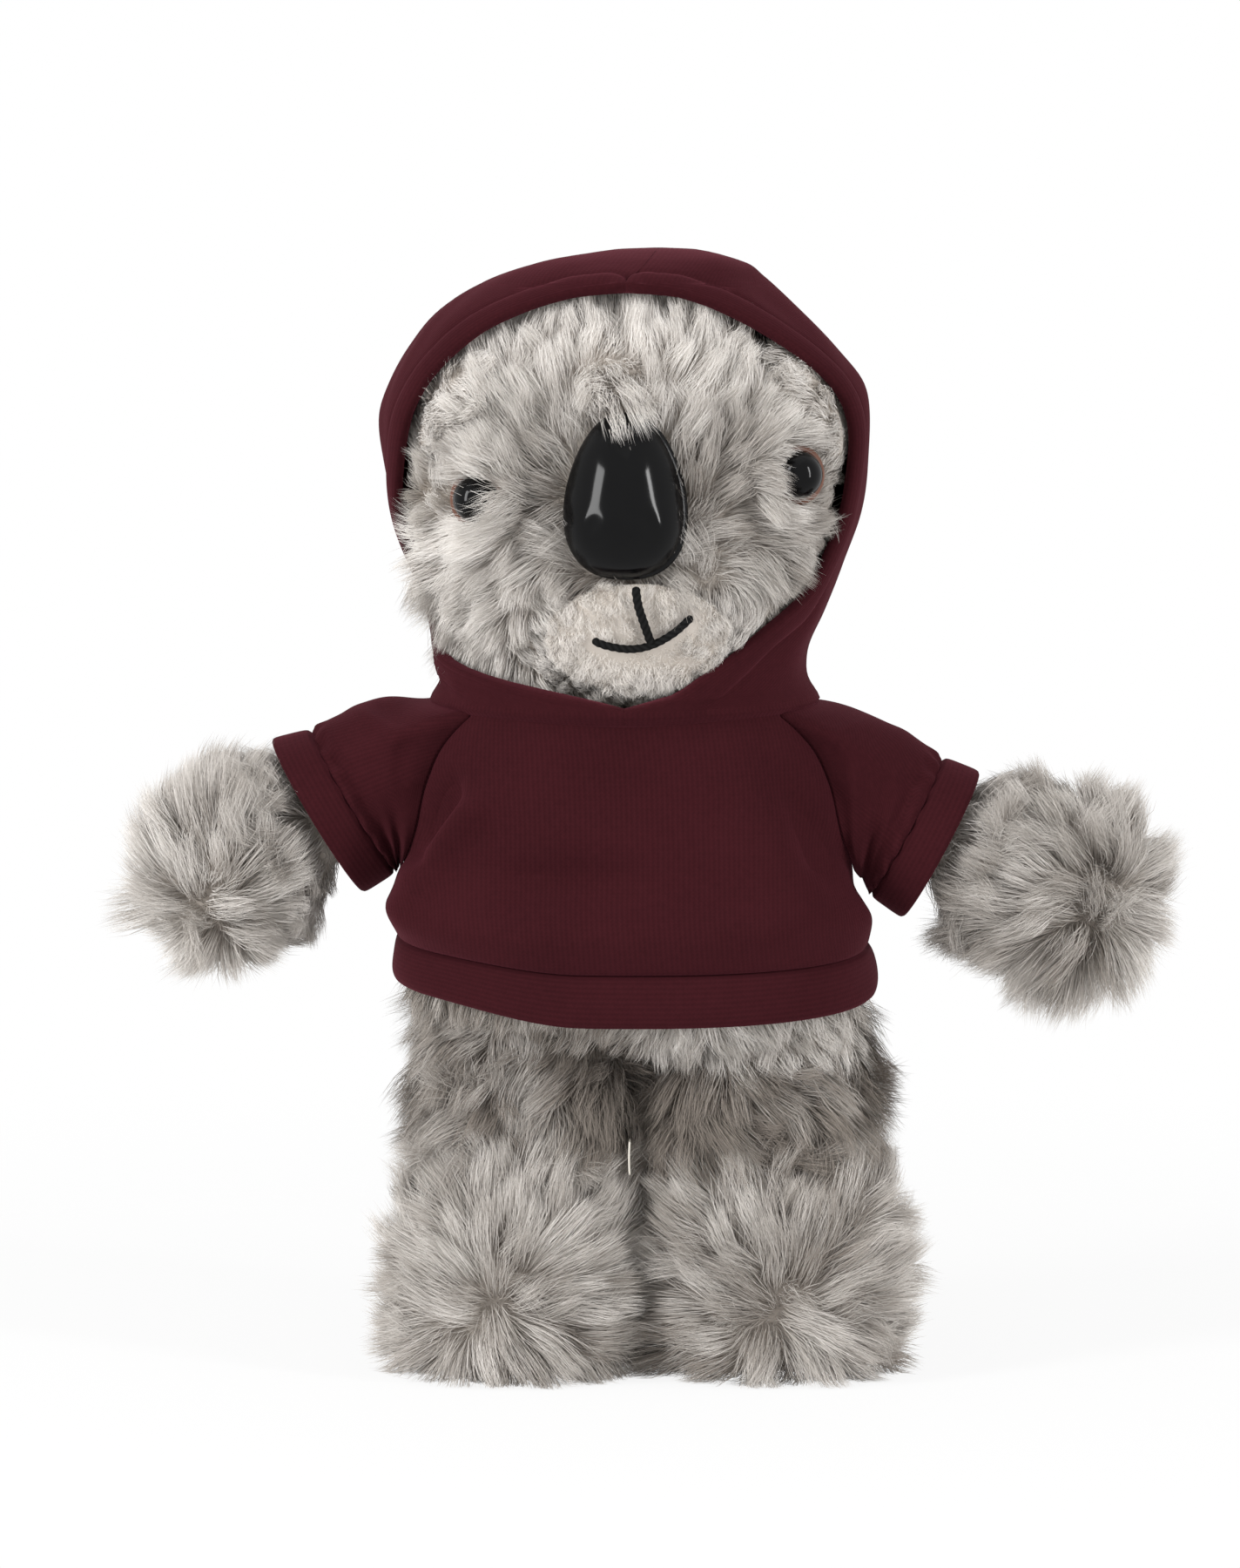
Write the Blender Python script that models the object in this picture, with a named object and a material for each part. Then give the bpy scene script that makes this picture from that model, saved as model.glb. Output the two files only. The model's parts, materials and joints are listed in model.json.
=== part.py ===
"""Plush koala in a hooded sweatshirt, standing on two flat feet, about 200 mm tall.

Every sewn or moulded piece is an object of its own: plush skins that stay open where they are filled,
the fibre filling inside them, the moulded eyes and nose with the washers that lock them, and the panels
and bands of the sweatshirt. The face looks along -Y, +X is on the right of someone who looks at it, and
the origin is on the ground in the middle of the toy. Lengths are in millimetres and are scaled to metres
when a mesh is made.
"""

import math
from collections import namedtuple

import bmesh
import bpy
from mathutils import Matrix, Vector

MM = 0.001

# Thickness of each sheet of fabric, and the room left between neighbours
SKIN = 1.6
CLOTH = 1.3
BAND_CLOTH = 2.0
GAP = 0.4
# Room between a skin and its filling, and round the root of a limb
FILL_GAP = 0.8
LIMB_GAP = 0.6

# Points round each form
HEAD_SIDES = 18
BODY_SIDES = 18
HEM_SIDES = 24
SLEEVE_SIDES = 20
ARM_SIDES = 14
LEG_SIDES = 16
FILLING_SIDES = 10
HOOD_COLUMNS = 8
PANEL_COLUMNS = 11

# Joint places
NECK_HEIGHT = 119.2
NECK_AXIS_X = -4.2
SHOULDER_RAISE = math.radians(40)
SHOULDER_LOWER = math.radians(10)
HIP_CENTRE = Vector((0.0, -1.0, 62.0))
HIP_RADIUS = 18.5
HIP_FORWARD = math.radians(55)
HIP_BACK = math.radians(12)

# One level slice of a soft form: height, centre, half width, reach to the front and to the back, and the
# power of its outline, where 2 is an ellipse and more is squarer
Slice = namedtuple("Slice", "z x y half front back power")

HEAD = (
    Slice(119.6, -4.2, 0, 20.0, 20.0, 20.0, 2.0),
    Slice(122.0, -4.1, 0, 25.0, 24.5, 25.0, 2.0),
    Slice(126.0, -4.0, 0, 28.0, 28.0, 28.5, 2.1),
    Slice(133.0, -3.8, 0, 30.5, 32.2, 30.8, 2.15),
    Slice(142.0, -3.6, 0, 34.0, 35.2, 33.5, 2.2),
    Slice(152.0, -3.5, 0, 37.0, 35.8, 35.0, 2.2),
    Slice(162.0, -3.5, 0, 37.5, 34.6, 35.5, 2.2),
    Slice(171.0, -3.5, 0, 36.0, 32.4, 34.5, 2.2),
    Slice(179.0, -3.5, 0, 32.4, 28.8, 31.5, 2.1),
    Slice(186.0, -3.4, 0, 27.0, 23.6, 26.5, 2.0),
    Slice(191.5, -3.2, 0, 20.0, 17.4, 20.0, 2.0),
    Slice(195.0, -3.0, 0, 12.0, 10.5, 12.5, 2.0),
    Slice(196.8, -3.0, 0, 4.0, 3.5, 4.5, 2.0),
)
HEAD_TOP = 197.1

HOOD = (
    Slice(119.6, -4.4, 0, 32.8, 29.5, 29.5, 2.0),
    Slice(128.0, -4.8, 0, 33.2, 33.5, 32.0, 2.0),
    Slice(135.0, -4.4, 0, 35.4, 37.0, 35.0, 2.0),
    Slice(143.0, -4.2, 0, 38.3, 38.5, 38.0, 2.0),
    Slice(152.0, -4.0, 0, 41.3, 38.5, 40.8, 2.0),
    Slice(162.0, -4.2, 0, 43.2, 38.0, 42.8, 2.0),
    Slice(170.0, -4.4, 0, 43.8, 37.6, 43.2, 2.0),
    Slice(176.0, -4.3, 0, 42.0, 36.4, 41.6, 2.0),
    Slice(182.0, -4.8, 0, 38.0, 33.6, 38.0, 2.0),
    Slice(188.5, -5.4, 0, 32.0, 28.6, 32.0, 2.0),
    Slice(194.2, -4.0, 0, 24.4, 21.6, 24.0, 2.0),
    Slice(197.8, -0.5, 0, 16.5, 14.0, 15.0, 2.0),
    Slice(199.3, 1.0, 0, 7.5, 6.5, 7.0, 2.0),
    Slice(199.6, 1.5, 0, 1.6, 1.6, 1.6, 2.0),
)
# Where the face opening cuts the hood, as degrees from the front: height, left edge, right edge
HOOD_OPENING = (
    (121.0, 3.0, 3.0),
    (122.4, 18.0, 15.0),
    (125.0, 48.0, 24.0),
    (129.0, 86.0, 36.0),
    (134.0, 96.0, 47.0),
    (140.0, 96.0, 61.0),
    (148.0, 86.0, 66.0),
    (158.0, 73.0, 68.0),
    (168.0, 63.0, 67.0),
    (177.5, 58.0, 61.0),
    (184.0, 50.0, 52.0),
    (189.0, 38.0, 40.0),
    (192.6, 20.0, 22.0),
    (193.6, 3.0, 3.0),
)

# Outside of the sweatshirt's body. The torso follows it from inside.
BODY = (
    Slice(58.0, -2.6, 0, 40.0, 30.0, 28.0, 2.2),
    Slice(66.0, -2.6, 0, 42.5, 32.2, 30.0, 2.3),
    Slice(75.0, -2.9, 0, 41.6, 32.4, 30.0, 2.4),
    Slice(84.0, -3.9, 0, 40.7, 31.8, 29.6, 2.5),
    Slice(92.0, -3.9, 0, 40.0, 30.8, 29.2, 2.6),
    Slice(102.0, -3.9, 0, 38.6, 29.4, 28.6, 2.6),
    Slice(110.0, -4.0, 0, 36.4, 28.4, 28.2, 2.5),
    Slice(115.0, -4.2, 0, 34.4, 28.6, 28.4, 2.3),
    Slice(119.6, -4.4, 0, 32.8, 29.5, 29.5, 2.0),
)
BODY_TOP = NECK_HEIGHT - GAP / 2
HEM_LOW = 67.4
HEM_SEAM = 75.4
HEM_DROOP = 2.2
HEM_DROOP_REACH = 32.0
HEM_SWELL = 0.5
# The torso starts here and draws in below the hem
TORSO_LOW = 59.0
TUCK = 7.0
TUCK_TOP = 69.0
# Where the raglan seams cut the front panel, as degrees from the front: height, seam
ARMHOLE = (
    (88.9, 89.0),
    (92.5, 78.0),
    (98.0, 71.0),
    (106.0, 69.0),
    (113.0, 64.0),
    (119.6, 52.0),
)
# How far round from the panel's edge a sleeve is sewn on, in degrees, and how full its shoulder is
SEAM_APART = 1.6
SLEEVE_FULLNESS = 2.2

# The two arms differ a little, because the toy was posed by hand. Heights and places of the arm's root,
# the bend and the middle of the paw; the paw's size; middles, radii and slopes of the cuff's two edges.
Arm = namedtuple("Arm", "side root bend paw paw_radius seam_centre seam_radius edge_centre edge_radius slope")
ARMS = {
    "left": Arm(-1, (-34.0, 102.5), (-53.0, 104.0), (-73.0, 89.5), 17.4, (-53.0, 101.0), 14.7, (-59.1, 98.4), 15.8, 31),
    "right": Arm(1, (27.0, 104.8), (47.0, 98.6), (73.2, 85.2), 17.2, (46.0, 96.4), 13.8, (51.9, 93.2), 14.6, 28),
}
ARM_ROOT_RADIUS = 10.2
ARM_ROOT_DEPTH = 9.8
ARM_FILL_HOLE = 0.86

# A leg's slices are mirrored for the other leg: the inner face stays by the middle of the toy
Leg = namedtuple("Leg", "side inner thigh foot")
LEGS = {
    "left": Leg(-1, -1.7, 39.8, 45.8),
    "right": Leg(1, -0.7, 38.3, 45.2),
}
FOOT_HEIGHT = 37.5

# Face
EYES = {"left": (-29.6, 156.8), "right": (25.2, 160.8)}
EYE_RADIUS = 5.3
EYE_RIM = 0.9
EYE_DOME = 4.3
EYE_STEM = 1.6
EYE_WASHER_RADIUS = 5.4
STEM_LENGTH = 9.0
WASHER_THICKNESS = 1.2
WASHER_DEPTH = 1.8
WASHER_ROOM = 0.6
NOSE_CENTRE = (-4.3, 157.8)
NOSE_HALF = (10.6, 14.4)
NOSE_TAPER = 0.2
NOSE_SQUARENESS = 0.82
NOSE_FLANGE = 1.0
NOSE_RISE = 6.9
NOSE_STEM = 2.0
NOSE_WASHER_RADIUS = 6.5
MUZZLE_CENTRE = (-2.2, 133.0)
MUZZLE_HALF = (15.5, 9.6)
MUZZLE_THICKNESS = 1.4
THREAD_RADIUS = 0.65
MOUTH_SMILE = ((-10.1, 132.8), (-7.6, 131.8), (-3.6, 131.2), (0.2, 131.9), (4.0, 134.0), (7.3, 137.0))
MOUTH_STROKE = ((-2.6, 142.4), (-2.1, 139.0), (-0.9, 135.2), (0.2, 132.0))
EAR_TURN = 74.0
EAR_HEIGHT = 174.0
EAR_HALF = (26.0, 11.0)
EAR_RIM = 0.8
EAR_THICKNESS = 2.2

COLOURS = {
    "grey_plush": (0.52, 0.49, 0.46, 1.0, 0.95),
    "cream_plush": (0.66, 0.61, 0.55, 1.0, 0.95),
    "burgundy_knit": (0.06, 0.012, 0.018, 1.0, 0.9),
    "black_plastic": (0.006, 0.006, 0.007, 1.0, 0.08),
    "black_thread": (0.008, 0.008, 0.008, 1.0, 0.7),
    "white_fibre": (0.8, 0.8, 0.78, 1.0, 1.0),
    "white_plastic": (0.75, 0.75, 0.72, 1.0, 0.4),
    "label_tape": (0.78, 0.74, 0.66, 1.0, 0.7),
}


def material(name):
    """The Principled material of this name, made the first time that it is asked for."""
    made = bpy.data.materials.get(name)
    if made is None:
        made = bpy.data.materials.new(name)
        made.use_nodes = True
        red, green, blue, alpha, roughness = COLOURS[name]
        shader = made.node_tree.nodes["Principled BSDF"]
        shader.inputs["Base Color"].default_value = (red, green, blue, alpha)
        shader.inputs["Roughness"].default_value = roughness
        shader.inputs["Metallic"].default_value = 0.0
        made.diffuse_color = (red, green, blue, alpha)
    return made


def pivot(name, place):
    """An empty on a joint's axis, which carries the objects that turn there."""
    empty = bpy.data.objects.new(name, None)
    empty.location = Vector(place) * MM
    empty.empty_display_size = 0.01
    bpy.context.scene.collection.objects.link(empty)
    return empty


def solid(name, points, faces, finish, carrier=None):
    """An object from points in millimetres in the toy's frame, carried by an empty if one is given."""
    start = carrier.location / MM if carrier else Vector((0.0, 0.0, 0.0))
    mesh = bpy.data.meshes.new(name)
    mesh.from_pydata([(Vector(p) - start) * MM for p in points], [], faces)
    rounded = bmesh.new()
    rounded.from_mesh(mesh)
    bmesh.ops.recalc_face_normals(rounded, faces=rounded.faces)
    rounded.to_mesh(mesh)
    rounded.free()
    mesh.materials.append(material(finish))
    mesh.shade_smooth()
    mesh.set_sharp_from_angle(angle=math.radians(50))
    made = bpy.data.objects.new(name, mesh)
    bpy.context.scene.collection.objects.link(made)
    made.parent = carrier
    return made


def cutter(name, points, faces):
    """A wire-drawn guide that Boolean modifiers use."""
    made = solid(name, points, faces, "white_fibre")
    made.hide_render = True
    made.display_type = "WIRE"
    return made


def boolean(target, other, operation="DIFFERENCE"):
    modifier = target.modifiers.new(f"{operation.lower()} {other.name}", "BOOLEAN")
    modifier.operation = operation
    modifier.solver = "EXACT"
    modifier.object = other


def blend(low, high, share):
    return low + (high - low) * share


def smooth_step(share):
    share = min(max(share, 0.0), 1.0)
    return share * share * (3 - 2 * share)


def hermite(knots, values, at):
    """The smooth curve through the values at these knots, read at one place."""
    at = min(max(at, knots[0]), knots[-1])
    index = max(i for i in range(len(knots) - 1) if knots[i] <= at)
    slopes = []
    for i in (index, index + 1):
        before, after = max(i - 1, 0), min(i + 1, len(knots) - 1)
        slopes.append((values[after] - values[before]) / (knots[after] - knots[before]))
    width = knots[index + 1] - knots[index]
    t = (at - knots[index]) / width
    return (
        (2 * t**3 - 3 * t**2 + 1) * values[index]
        + (t**3 - 2 * t**2 + t) * width * slopes[0]
        + (3 * t**2 - 2 * t**3) * values[index + 1]
        + (t**3 - t**2) * width * slopes[1]
    )


class Form:
    """A soft form through level slices. Its points are named by a turn, in degrees from the front
    towards +X, and a height."""

    def __init__(self, slices):
        self.slices = slices
        self.heights = [s.z for s in slices]

    def field(self, name, z):
        return hermite(self.heights, [getattr(s, name) for s in self.slices], z)

    def raw(self, turn, z):
        z = min(max(z, self.heights[0]), self.heights[-1])
        side, ahead = math.sin(math.radians(turn)), math.cos(math.radians(turn))
        power = 2 / self.field("power", z)
        reach = self.field("front" if ahead > 0 else "back", z)
        x = self.field("x", z) + self.field("half", z) * math.copysign(abs(side) ** power, side)
        y = self.field("y", z) - reach * math.copysign(abs(ahead) ** power, ahead)
        return Vector((x, y, z))

    def point(self, turn, z, out=0.0):
        """The surface point, moved out along the surface's normal."""
        here = self.raw(turn, z)
        if out == 0.0:
            return here
        across = self.raw(turn + 2, z) - self.raw(turn - 2, z)
        up = self.raw(turn, z + 0.4) - self.raw(turn, z - 0.4)
        return here + across.cross(up).normalized() * out

    def turn_of(self, x, z):
        """The turn at which the front of the form passes this x."""
        share = (x - self.field("x", z)) / self.field("half", z)
        share = min(max(share, -1.0), 1.0)
        side = math.copysign(abs(share) ** (self.field("power", z) / 2), share)
        return math.degrees(math.asin(side))

    def front(self, x, z, out=0.0):
        return self.point(self.turn_of(x, z), z, out)

    def ring(self, z, count, out=0.0):
        return [self.point(360 * i / count, z, out) for i in range(count)]


def strip(first, second, count, closed=True):
    """Quads between two runs of points."""
    last = count if closed else count - 1
    return [(first + i, first + (i + 1) % count, second + (i + 1) % count, second + i) for i in range(last)]


def fan(first, count, centre):
    return [(first + i, first + (i + 1) % count, centre) for i in range(count)]


def filled_loft(rings, low_pole, high_pole):
    """Points and faces of a solid through rings, closed to a point at each end."""
    count = len(rings[0])
    points = [p for ring in rings for p in ring] + [low_pole, high_pole]
    faces = fan(0, count, len(points) - 2) + fan(count * (len(rings) - 1), count, len(points) - 1)
    for row in range(len(rings) - 1):
        faces += strip(row * count, (row + 1) * count, count)
    return points, faces


def cup(outer, inner, outer_pole, inner_pole):
    """Points and faces of a wall between two lofts, open at their first ring and closed at the last."""
    count = len(outer[0])
    points = [p for ring in outer for p in ring] + [p for ring in inner for p in ring]
    start = count * len(outer)
    points += [outer_pole, inner_pole]
    faces = strip(0, start, count)
    for row in range(len(outer) - 1):
        faces += strip(row * count, (row + 1) * count, count)
    for row in range(len(inner) - 1):
        faces += strip(start + row * count, start + (row + 1) * count, count)
    faces += fan(count * (len(outer) - 1), count, len(points) - 2)
    faces += fan(start + count * (len(inner) - 1), count, len(points) - 1)
    return points, faces


def tube_wall(outer, inner):
    """Points and faces of a wall between two lofts that are open at both ends."""
    count = len(outer[0])
    points = [p for ring in outer for p in ring] + [p for ring in inner for p in ring]
    start = count * len(outer)
    last = count * (len(outer) - 1)
    faces = strip(0, start, count) + strip(last, start + last, count)
    for row in range(len(outer) - 1):
        faces += strip(row * count, (row + 1) * count, count)
        faces += strip(start + row * count, start + (row + 1) * count, count)
    return points, faces


def panel(outer, inner):
    """Points and faces of a sheet between two grids of the same size, rimmed on all four sides."""
    rows, count = len(outer), len(outer[0])
    points = [p for row in outer for p in row] + [p for row in inner for p in row]
    start = rows * count
    last = count * (rows - 1)
    faces = strip(0, start, count, False) + strip(last, start + last, count, False)
    for row in range(rows - 1):
        low, high = row * count, (row + 1) * count
        faces += strip(low, high, count, False) + strip(start + low, start + high, count, False)
        for column in (0, count - 1):
            faces.append((low + column, high + column, start + high + column, start + low + column))
    return points, faces


def turned(profile, count, base, direction):
    """Points and faces of a closed profile of (radius, height) pairs, turned about an axis. A radius of
    zero makes one point on the axis."""
    aim = Matrix.Translation(base) @ direction.to_track_quat("Z", "Y").to_matrix().to_4x4()
    points, runs = [], []
    for radius, height in profile:
        runs.append((len(points), radius == 0))
        turns = 1 if radius == 0 else count
        for i in range(turns):
            angle = 2 * math.pi * i / count
            points.append(aim @ Vector((radius * math.cos(angle), radius * math.sin(angle), height)))
    faces = []
    for (low, low_pole), (high, high_pole) in zip(runs, runs[1:] + runs[:1]):
        if low_pole and high_pole:
            continue
        if low_pole or high_pole:
            faces += fan(high if low_pole else low, count, low if low_pole else high)
        else:
            faces += strip(low, high, count)
    return points, faces


def rod(radius, count, start, end):
    """A plain cylinder between two points."""
    axis = end - start
    profile = [(0, 0), (radius, 0), (radius, axis.length), (0, axis.length)]
    return turned(profile, count, start, axis)


def cord(path, radius, count):
    """A tube along a path in a plane that faces the front, with pointed ends."""
    rings = []
    for i, here in enumerate(path):
        ahead = (path[min(i + 1, len(path) - 1)] - path[max(i - 1, 0)]).normalized()
        across = ahead.cross(Vector((0, -1, 0))).normalized()
        out = across.cross(ahead)
        angles = [2 * math.pi * k / count for k in range(count)]
        rings.append([here + radius * (across * math.cos(a) + out * math.sin(a)) for a in angles])
    first = path[0] - (path[1] - path[0]).normalized() * radius
    last = path[-1] + (path[-1] - path[-2]).normalized() * radius
    return filled_loft(rings, first, last)


def wedge(name, outline, along, half):
    """A cutter: an outline of points, drawn out both ways along an axis."""
    count = len(outline)
    points = [p - along * half for p in outline] + [p + along * half for p in outline]
    faces = [tuple(range(count)), tuple(range(2 * count - 1, count - 1, -1))] + strip(0, count, count)
    return cutter(name, points, faces)


head = Form(HEAD)
hood = Form(HOOD)
body = Form(BODY)


def through_table(table, column, at):
    return hermite([row[0] for row in table], [row[column] for row in table], at)


def drooped(point):
    """The sweatshirt hangs lower in front, less and less towards the armholes."""
    fade = 1 - smooth_step((point.z - HEM_LOW) / (ARMHOLE[0][0] - HEM_LOW))
    return point + Vector((0, 0, HEM_DROOP * fade * point.y / HEM_DROOP_REACH))


def pocket(name, centre, radius, low, high, ahead, up, along, half):
    """A cutter for the space that a limb's round end and its first stretch sweep through. The angles
    low and high are the limb's directions at its limits, from ahead towards up."""
    reach = 70.0
    outline = []
    first, last = high + math.pi / 2, low + 3 * math.pi / 2
    steps = 20
    for i in range(steps + 1):
        angle = blend(first, last, i / steps)
        outline.append(centre + radius * (ahead * math.cos(angle) + up * math.sin(angle)))
    lower = ahead * math.cos(low) + up * math.sin(low)
    upper = ahead * math.cos(high) + up * math.sin(high)
    outline.append(outline[-1] + lower * reach)
    outline.append(outline[0] + upper * reach)
    return wedge(name, outline, along, half)


def shoulder_pocket(arm, grow):
    ahead = Vector((arm.side, 0, 0))
    rest = math.atan2(arm.bend[1] - arm.root[1], abs(arm.bend[0] - arm.root[0]))
    centre = Vector((arm.root[0], 0, arm.root[1]))
    low, high = rest - SHOULDER_LOWER, rest + SHOULDER_RAISE
    name = f"shoulder pocket {arm.side:+d} {grow:.1f}"
    radius = ARM_ROOT_RADIUS + grow
    return pocket(name, centre, radius, low, high, ahead, Vector((0, 0, 1)), Vector((0, 1, 0)),
                  ARM_ROOT_DEPTH + grow)


def hip_pocket(grow):
    down = -math.pi / 2
    return pocket(f"hip pocket {grow:.1f}", HIP_CENTRE, HIP_RADIUS + grow, down - HIP_FORWARD,
                  down + HIP_BACK, Vector((0, 1, 0)), Vector((0, 0, 1)), Vector((1, 0, 0)), 60.0)


def make_torso():
    """The torso skin is a tube, open at the neck and over the hips and cut where the arms enter. Its
    filling stands clear of it."""
    low, top = TORSO_LOW, BODY_TOP - GAP
    heights = (low, 61.5, 64.5, TUCK_TOP, 77.0, 87.0, 97.0, 107.0)

    def torso_ring(z, inset):
        tuck = TUCK * (1 - smooth_step((z - low) / (TUCK_TOP - low)))
        return body.ring(z, BODY_SIDES, -BAND_CLOTH - GAP - tuck - inset)
    outer = [torso_ring(z, 0.0) for z in (*heights, top)]
    inner = [torso_ring(z, SKIN) for z in (*heights, top)]
    skin = solid("torso_skin", *tube_wall(outer, inner), "grey_plush")
    rings = [torso_ring(z, SKIN + FILL_GAP) for z in (*heights, top - SKIN)]
    low_pole = Vector((body.field("x", low), 0, low - SKIN))
    high_pole = Vector((body.field("x", top), 0, top - SKIN))
    filling = solid("torso_stuffing", *filled_loft(rings, low_pole, high_pole), "white_fibre")
    boolean(skin, hip_pocket(LIMB_GAP))
    boolean(filling, hip_pocket(GAP + SKIN))
    for arm in ARMS.values():
        boolean(skin, shoulder_pocket(arm, LIMB_GAP))
        boolean(filling, shoulder_pocket(arm, GAP + SKIN))


def make_head(carrier):
    """The head skin is open at the neck and holed for the stems of the eyes and the nose."""
    heights = [s.z for s in HEAD]
    pole = Vector((HEAD[-1].x, 0, HEAD_TOP))
    outer = [head.ring(z, HEAD_SIDES) for z in heights]
    inner = [head.ring(z, HEAD_SIDES, -SKIN) for z in heights]
    skin = solid("head_skin", *cup(outer, inner, pole, pole - Vector((0, 0, SKIN))), "grey_plush", carrier)
    depth = SKIN + FILL_GAP
    rings = [head.ring(z, FILLING_SIDES + 2, -depth) for z in heights[:-1]]
    low = Vector((NECK_AXIS_X, 0, heights[0] + GAP / 2))
    filling = solid("head_stuffing", *filled_loft(rings, low, pole - Vector((0, 0, depth))), "white_fibre",
                    carrier)
    return skin, filling


def make_eye(name, place, skin, filling, carrier):
    """A dome on a stem. The stem goes through the skin into a washer, and the filling is hollow there."""
    x, z = place
    surface = head.front(x, z)
    out = (head.front(x, z, 1.0) - surface).normalized()
    base = surface + out * GAP * 1.5
    arc = [math.radians(a) for a in (0, 22, 45, 68)]
    dome = [(EYE_RADIUS * math.cos(a), EYE_RIM + EYE_DOME * math.sin(a)) for a in arc]
    bevel = 0.3
    profile = [(0, -STEM_LENGTH), (EYE_STEM, -STEM_LENGTH), (EYE_STEM, 0), (EYE_RADIUS - bevel, 0), *dome,
               (0, EYE_RIM + EYE_DOME)]
    solid(f"eye_{name}", *turned(profile, 20, base, out), "black_plastic", carrier)
    lock(f"eye_washer_{name}", surface, out, EYE_STEM, EYE_WASHER_RADIUS, skin, filling, carrier)


def lock(name, surface, out, stem, radius, skin, filling, carrier):
    """The washer on a stem, the hole through the skin and the hollow in the filling."""
    top = -SKIN - WASHER_DEPTH
    bore = stem + GAP
    profile = [(bore, top - WASHER_THICKNESS), (radius, top - WASHER_THICKNESS), (radius, top), (bore, top)]
    solid(name, *turned(profile, 16, surface, out), "white_plastic", carrier)
    deep, clear = surface - out * (STEM_LENGTH + 1), surface + out * 4
    boolean(skin, cutter(f"hole for {name}", *rod(bore, 12, surface - out * 6, clear)))
    boolean(filling, cutter(f"room for {name}", *rod(radius + WASHER_ROOM, 12, deep, clear)))


def pad_solid(name, centre, halves, shares, lift, finish, carrier, count, taper=0.0, squareness=1.0):
    """A closed pad on the front of the head. It narrows upwards by its taper."""
    gap = 2 * GAP

    def ring(share, off):
        points = []
        for i in range(count):
            angle = 2 * math.pi * i / count
            narrow = 1 - taper * math.sin(angle)
            across = math.copysign(abs(math.cos(angle)) ** squareness, math.cos(angle))
            x = centre[0] + halves[0] * share * narrow * across
            z = centre[1] + halves[1] * share * math.sin(angle)
            points.append(head.front(x, z) - Vector((0, gap + off, 0)))
        return points
    back = [ring(share, 0.0) for share in shares]
    front = [ring(share, lift(share)) for share in reversed(shares)]
    middle = head.front(*centre)
    low = middle - Vector((0, gap, 0))
    high = middle - Vector((0, gap + lift(0), 0))
    return solid(name, *filled_loft(back + front, low, high), finish, carrier)


def make_nose(skin, filling, carrier):
    """The nose is taller than wide and narrows towards the top. Its stem points into the head."""
    def lift(share):
        return NOSE_FLANGE + (NOSE_RISE - NOSE_FLANGE) * (1 - share**2.4) ** 0.6
    shares = (0.3, 0.55, 0.76, 0.91, 1.0)
    nose = pad_solid("nose", NOSE_CENTRE, NOSE_HALF, shares, lift, "black_plastic", carrier, 24, NOSE_TAPER,
                     NOSE_SQUARENESS)
    surface = head.front(*NOSE_CENTRE)
    out = Vector((0, -1, 0))
    stem = cutter("nose stem", *rod(NOSE_STEM, 12, surface - out * STEM_LENGTH, surface + out * 3))
    boolean(nose, stem, "UNION")
    lock("nose_washer", surface, out, NOSE_STEM, NOSE_WASHER_RADIUS, skin, filling, carrier)


def make_muzzle(carrier):
    """The cream panel under the nose, and the mouth's thread on it."""
    shares = (0.4, 0.75, 1.0)
    pad_solid("muzzle_panel", MUZZLE_CENTRE, MUZZLE_HALF, shares, lambda share: MUZZLE_THICKNESS,
              "cream_plush", carrier, 18)

    def laid(places):
        knots = list(range(len(places)))
        path = []
        steps = 3 * (len(places) - 1)
        for i in range(steps + 1):
            at = (len(places) - 1) * i / steps
            x = hermite(knots, [p[0] for p in places], at)
            z = hermite(knots, [p[1] for p in places], at)
            off = 4 * GAP + MUZZLE_THICKNESS + THREAD_RADIUS
            path.append(head.front(x, z) - Vector((0, off, 0)))
        return path
    smile = solid("mouth_stitch", *cord(laid(MOUTH_SMILE), THREAD_RADIUS, 6), "black_thread", carrier)
    stroke = cutter("mouth stroke", *cord(laid(MOUTH_STROKE), THREAD_RADIUS * 1.15, 6))
    boolean(smile, stroke, "UNION")


def make_ear(name, side, carrier):
    """An ear lies folded flat between the head and the hood."""
    count = 14

    def ring(share, off):
        points = []
        for i in range(count):
            angle = 2 * math.pi * i / count
            turn = side * EAR_TURN + EAR_HALF[0] * share * math.cos(angle)
            z = EAR_HEIGHT + EAR_HALF[1] * share * math.sin(angle)
            points.append(head.point(turn, z, off))
        return points
    shares = (0.5, 0.85, 1.0)
    clear = 2 * GAP
    inner = [ring(share, clear) for share in shares]
    outer = [ring(share, clear + blend(EAR_THICKNESS, EAR_RIM, share**3)) for share in reversed(shares)]
    low = head.point(side * EAR_TURN, EAR_HEIGHT, clear)
    high = head.point(side * EAR_TURN, EAR_HEIGHT, clear + EAR_THICKNESS)
    solid(f"ear_{name}", *filled_loft(inner + outer, low, high), "grey_plush", carrier)


def make_hood_half(name, side, carrier):
    """Half of the hood, from the face opening round to the seam over the crown and down the back."""
    heights = (119.6, 121.6, 124.5, 129.0, 136.0, 146.0, 157.0, 167.0, 176.0, 184.0, 190.0, 193.6, 196.8,
               199.0, 199.6)
    column = 1 if side < 0 else 2
    seam = 0.6
    outer, inner = [], []
    for z in heights:
        wide = math.degrees(seam / hood.field("half", z))
        open_low, open_high = HOOD_OPENING[0][0], HOOD_OPENING[-1][0]
        edge = through_table(HOOD_OPENING, column, z) if open_low < z < open_high else wide
        edge = max(edge, wide)
        turns = [side * blend(edge, 180 - wide, i / (HOOD_COLUMNS - 1)) for i in range(HOOD_COLUMNS)]
        outer.append([hood.point(t, z) for t in turns])
        inner.append([hood.point(t, z, -CLOTH) for t in turns])
    solid(f"hood_{name}", *panel(outer, inner), "burgundy_knit", carrier)


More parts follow.
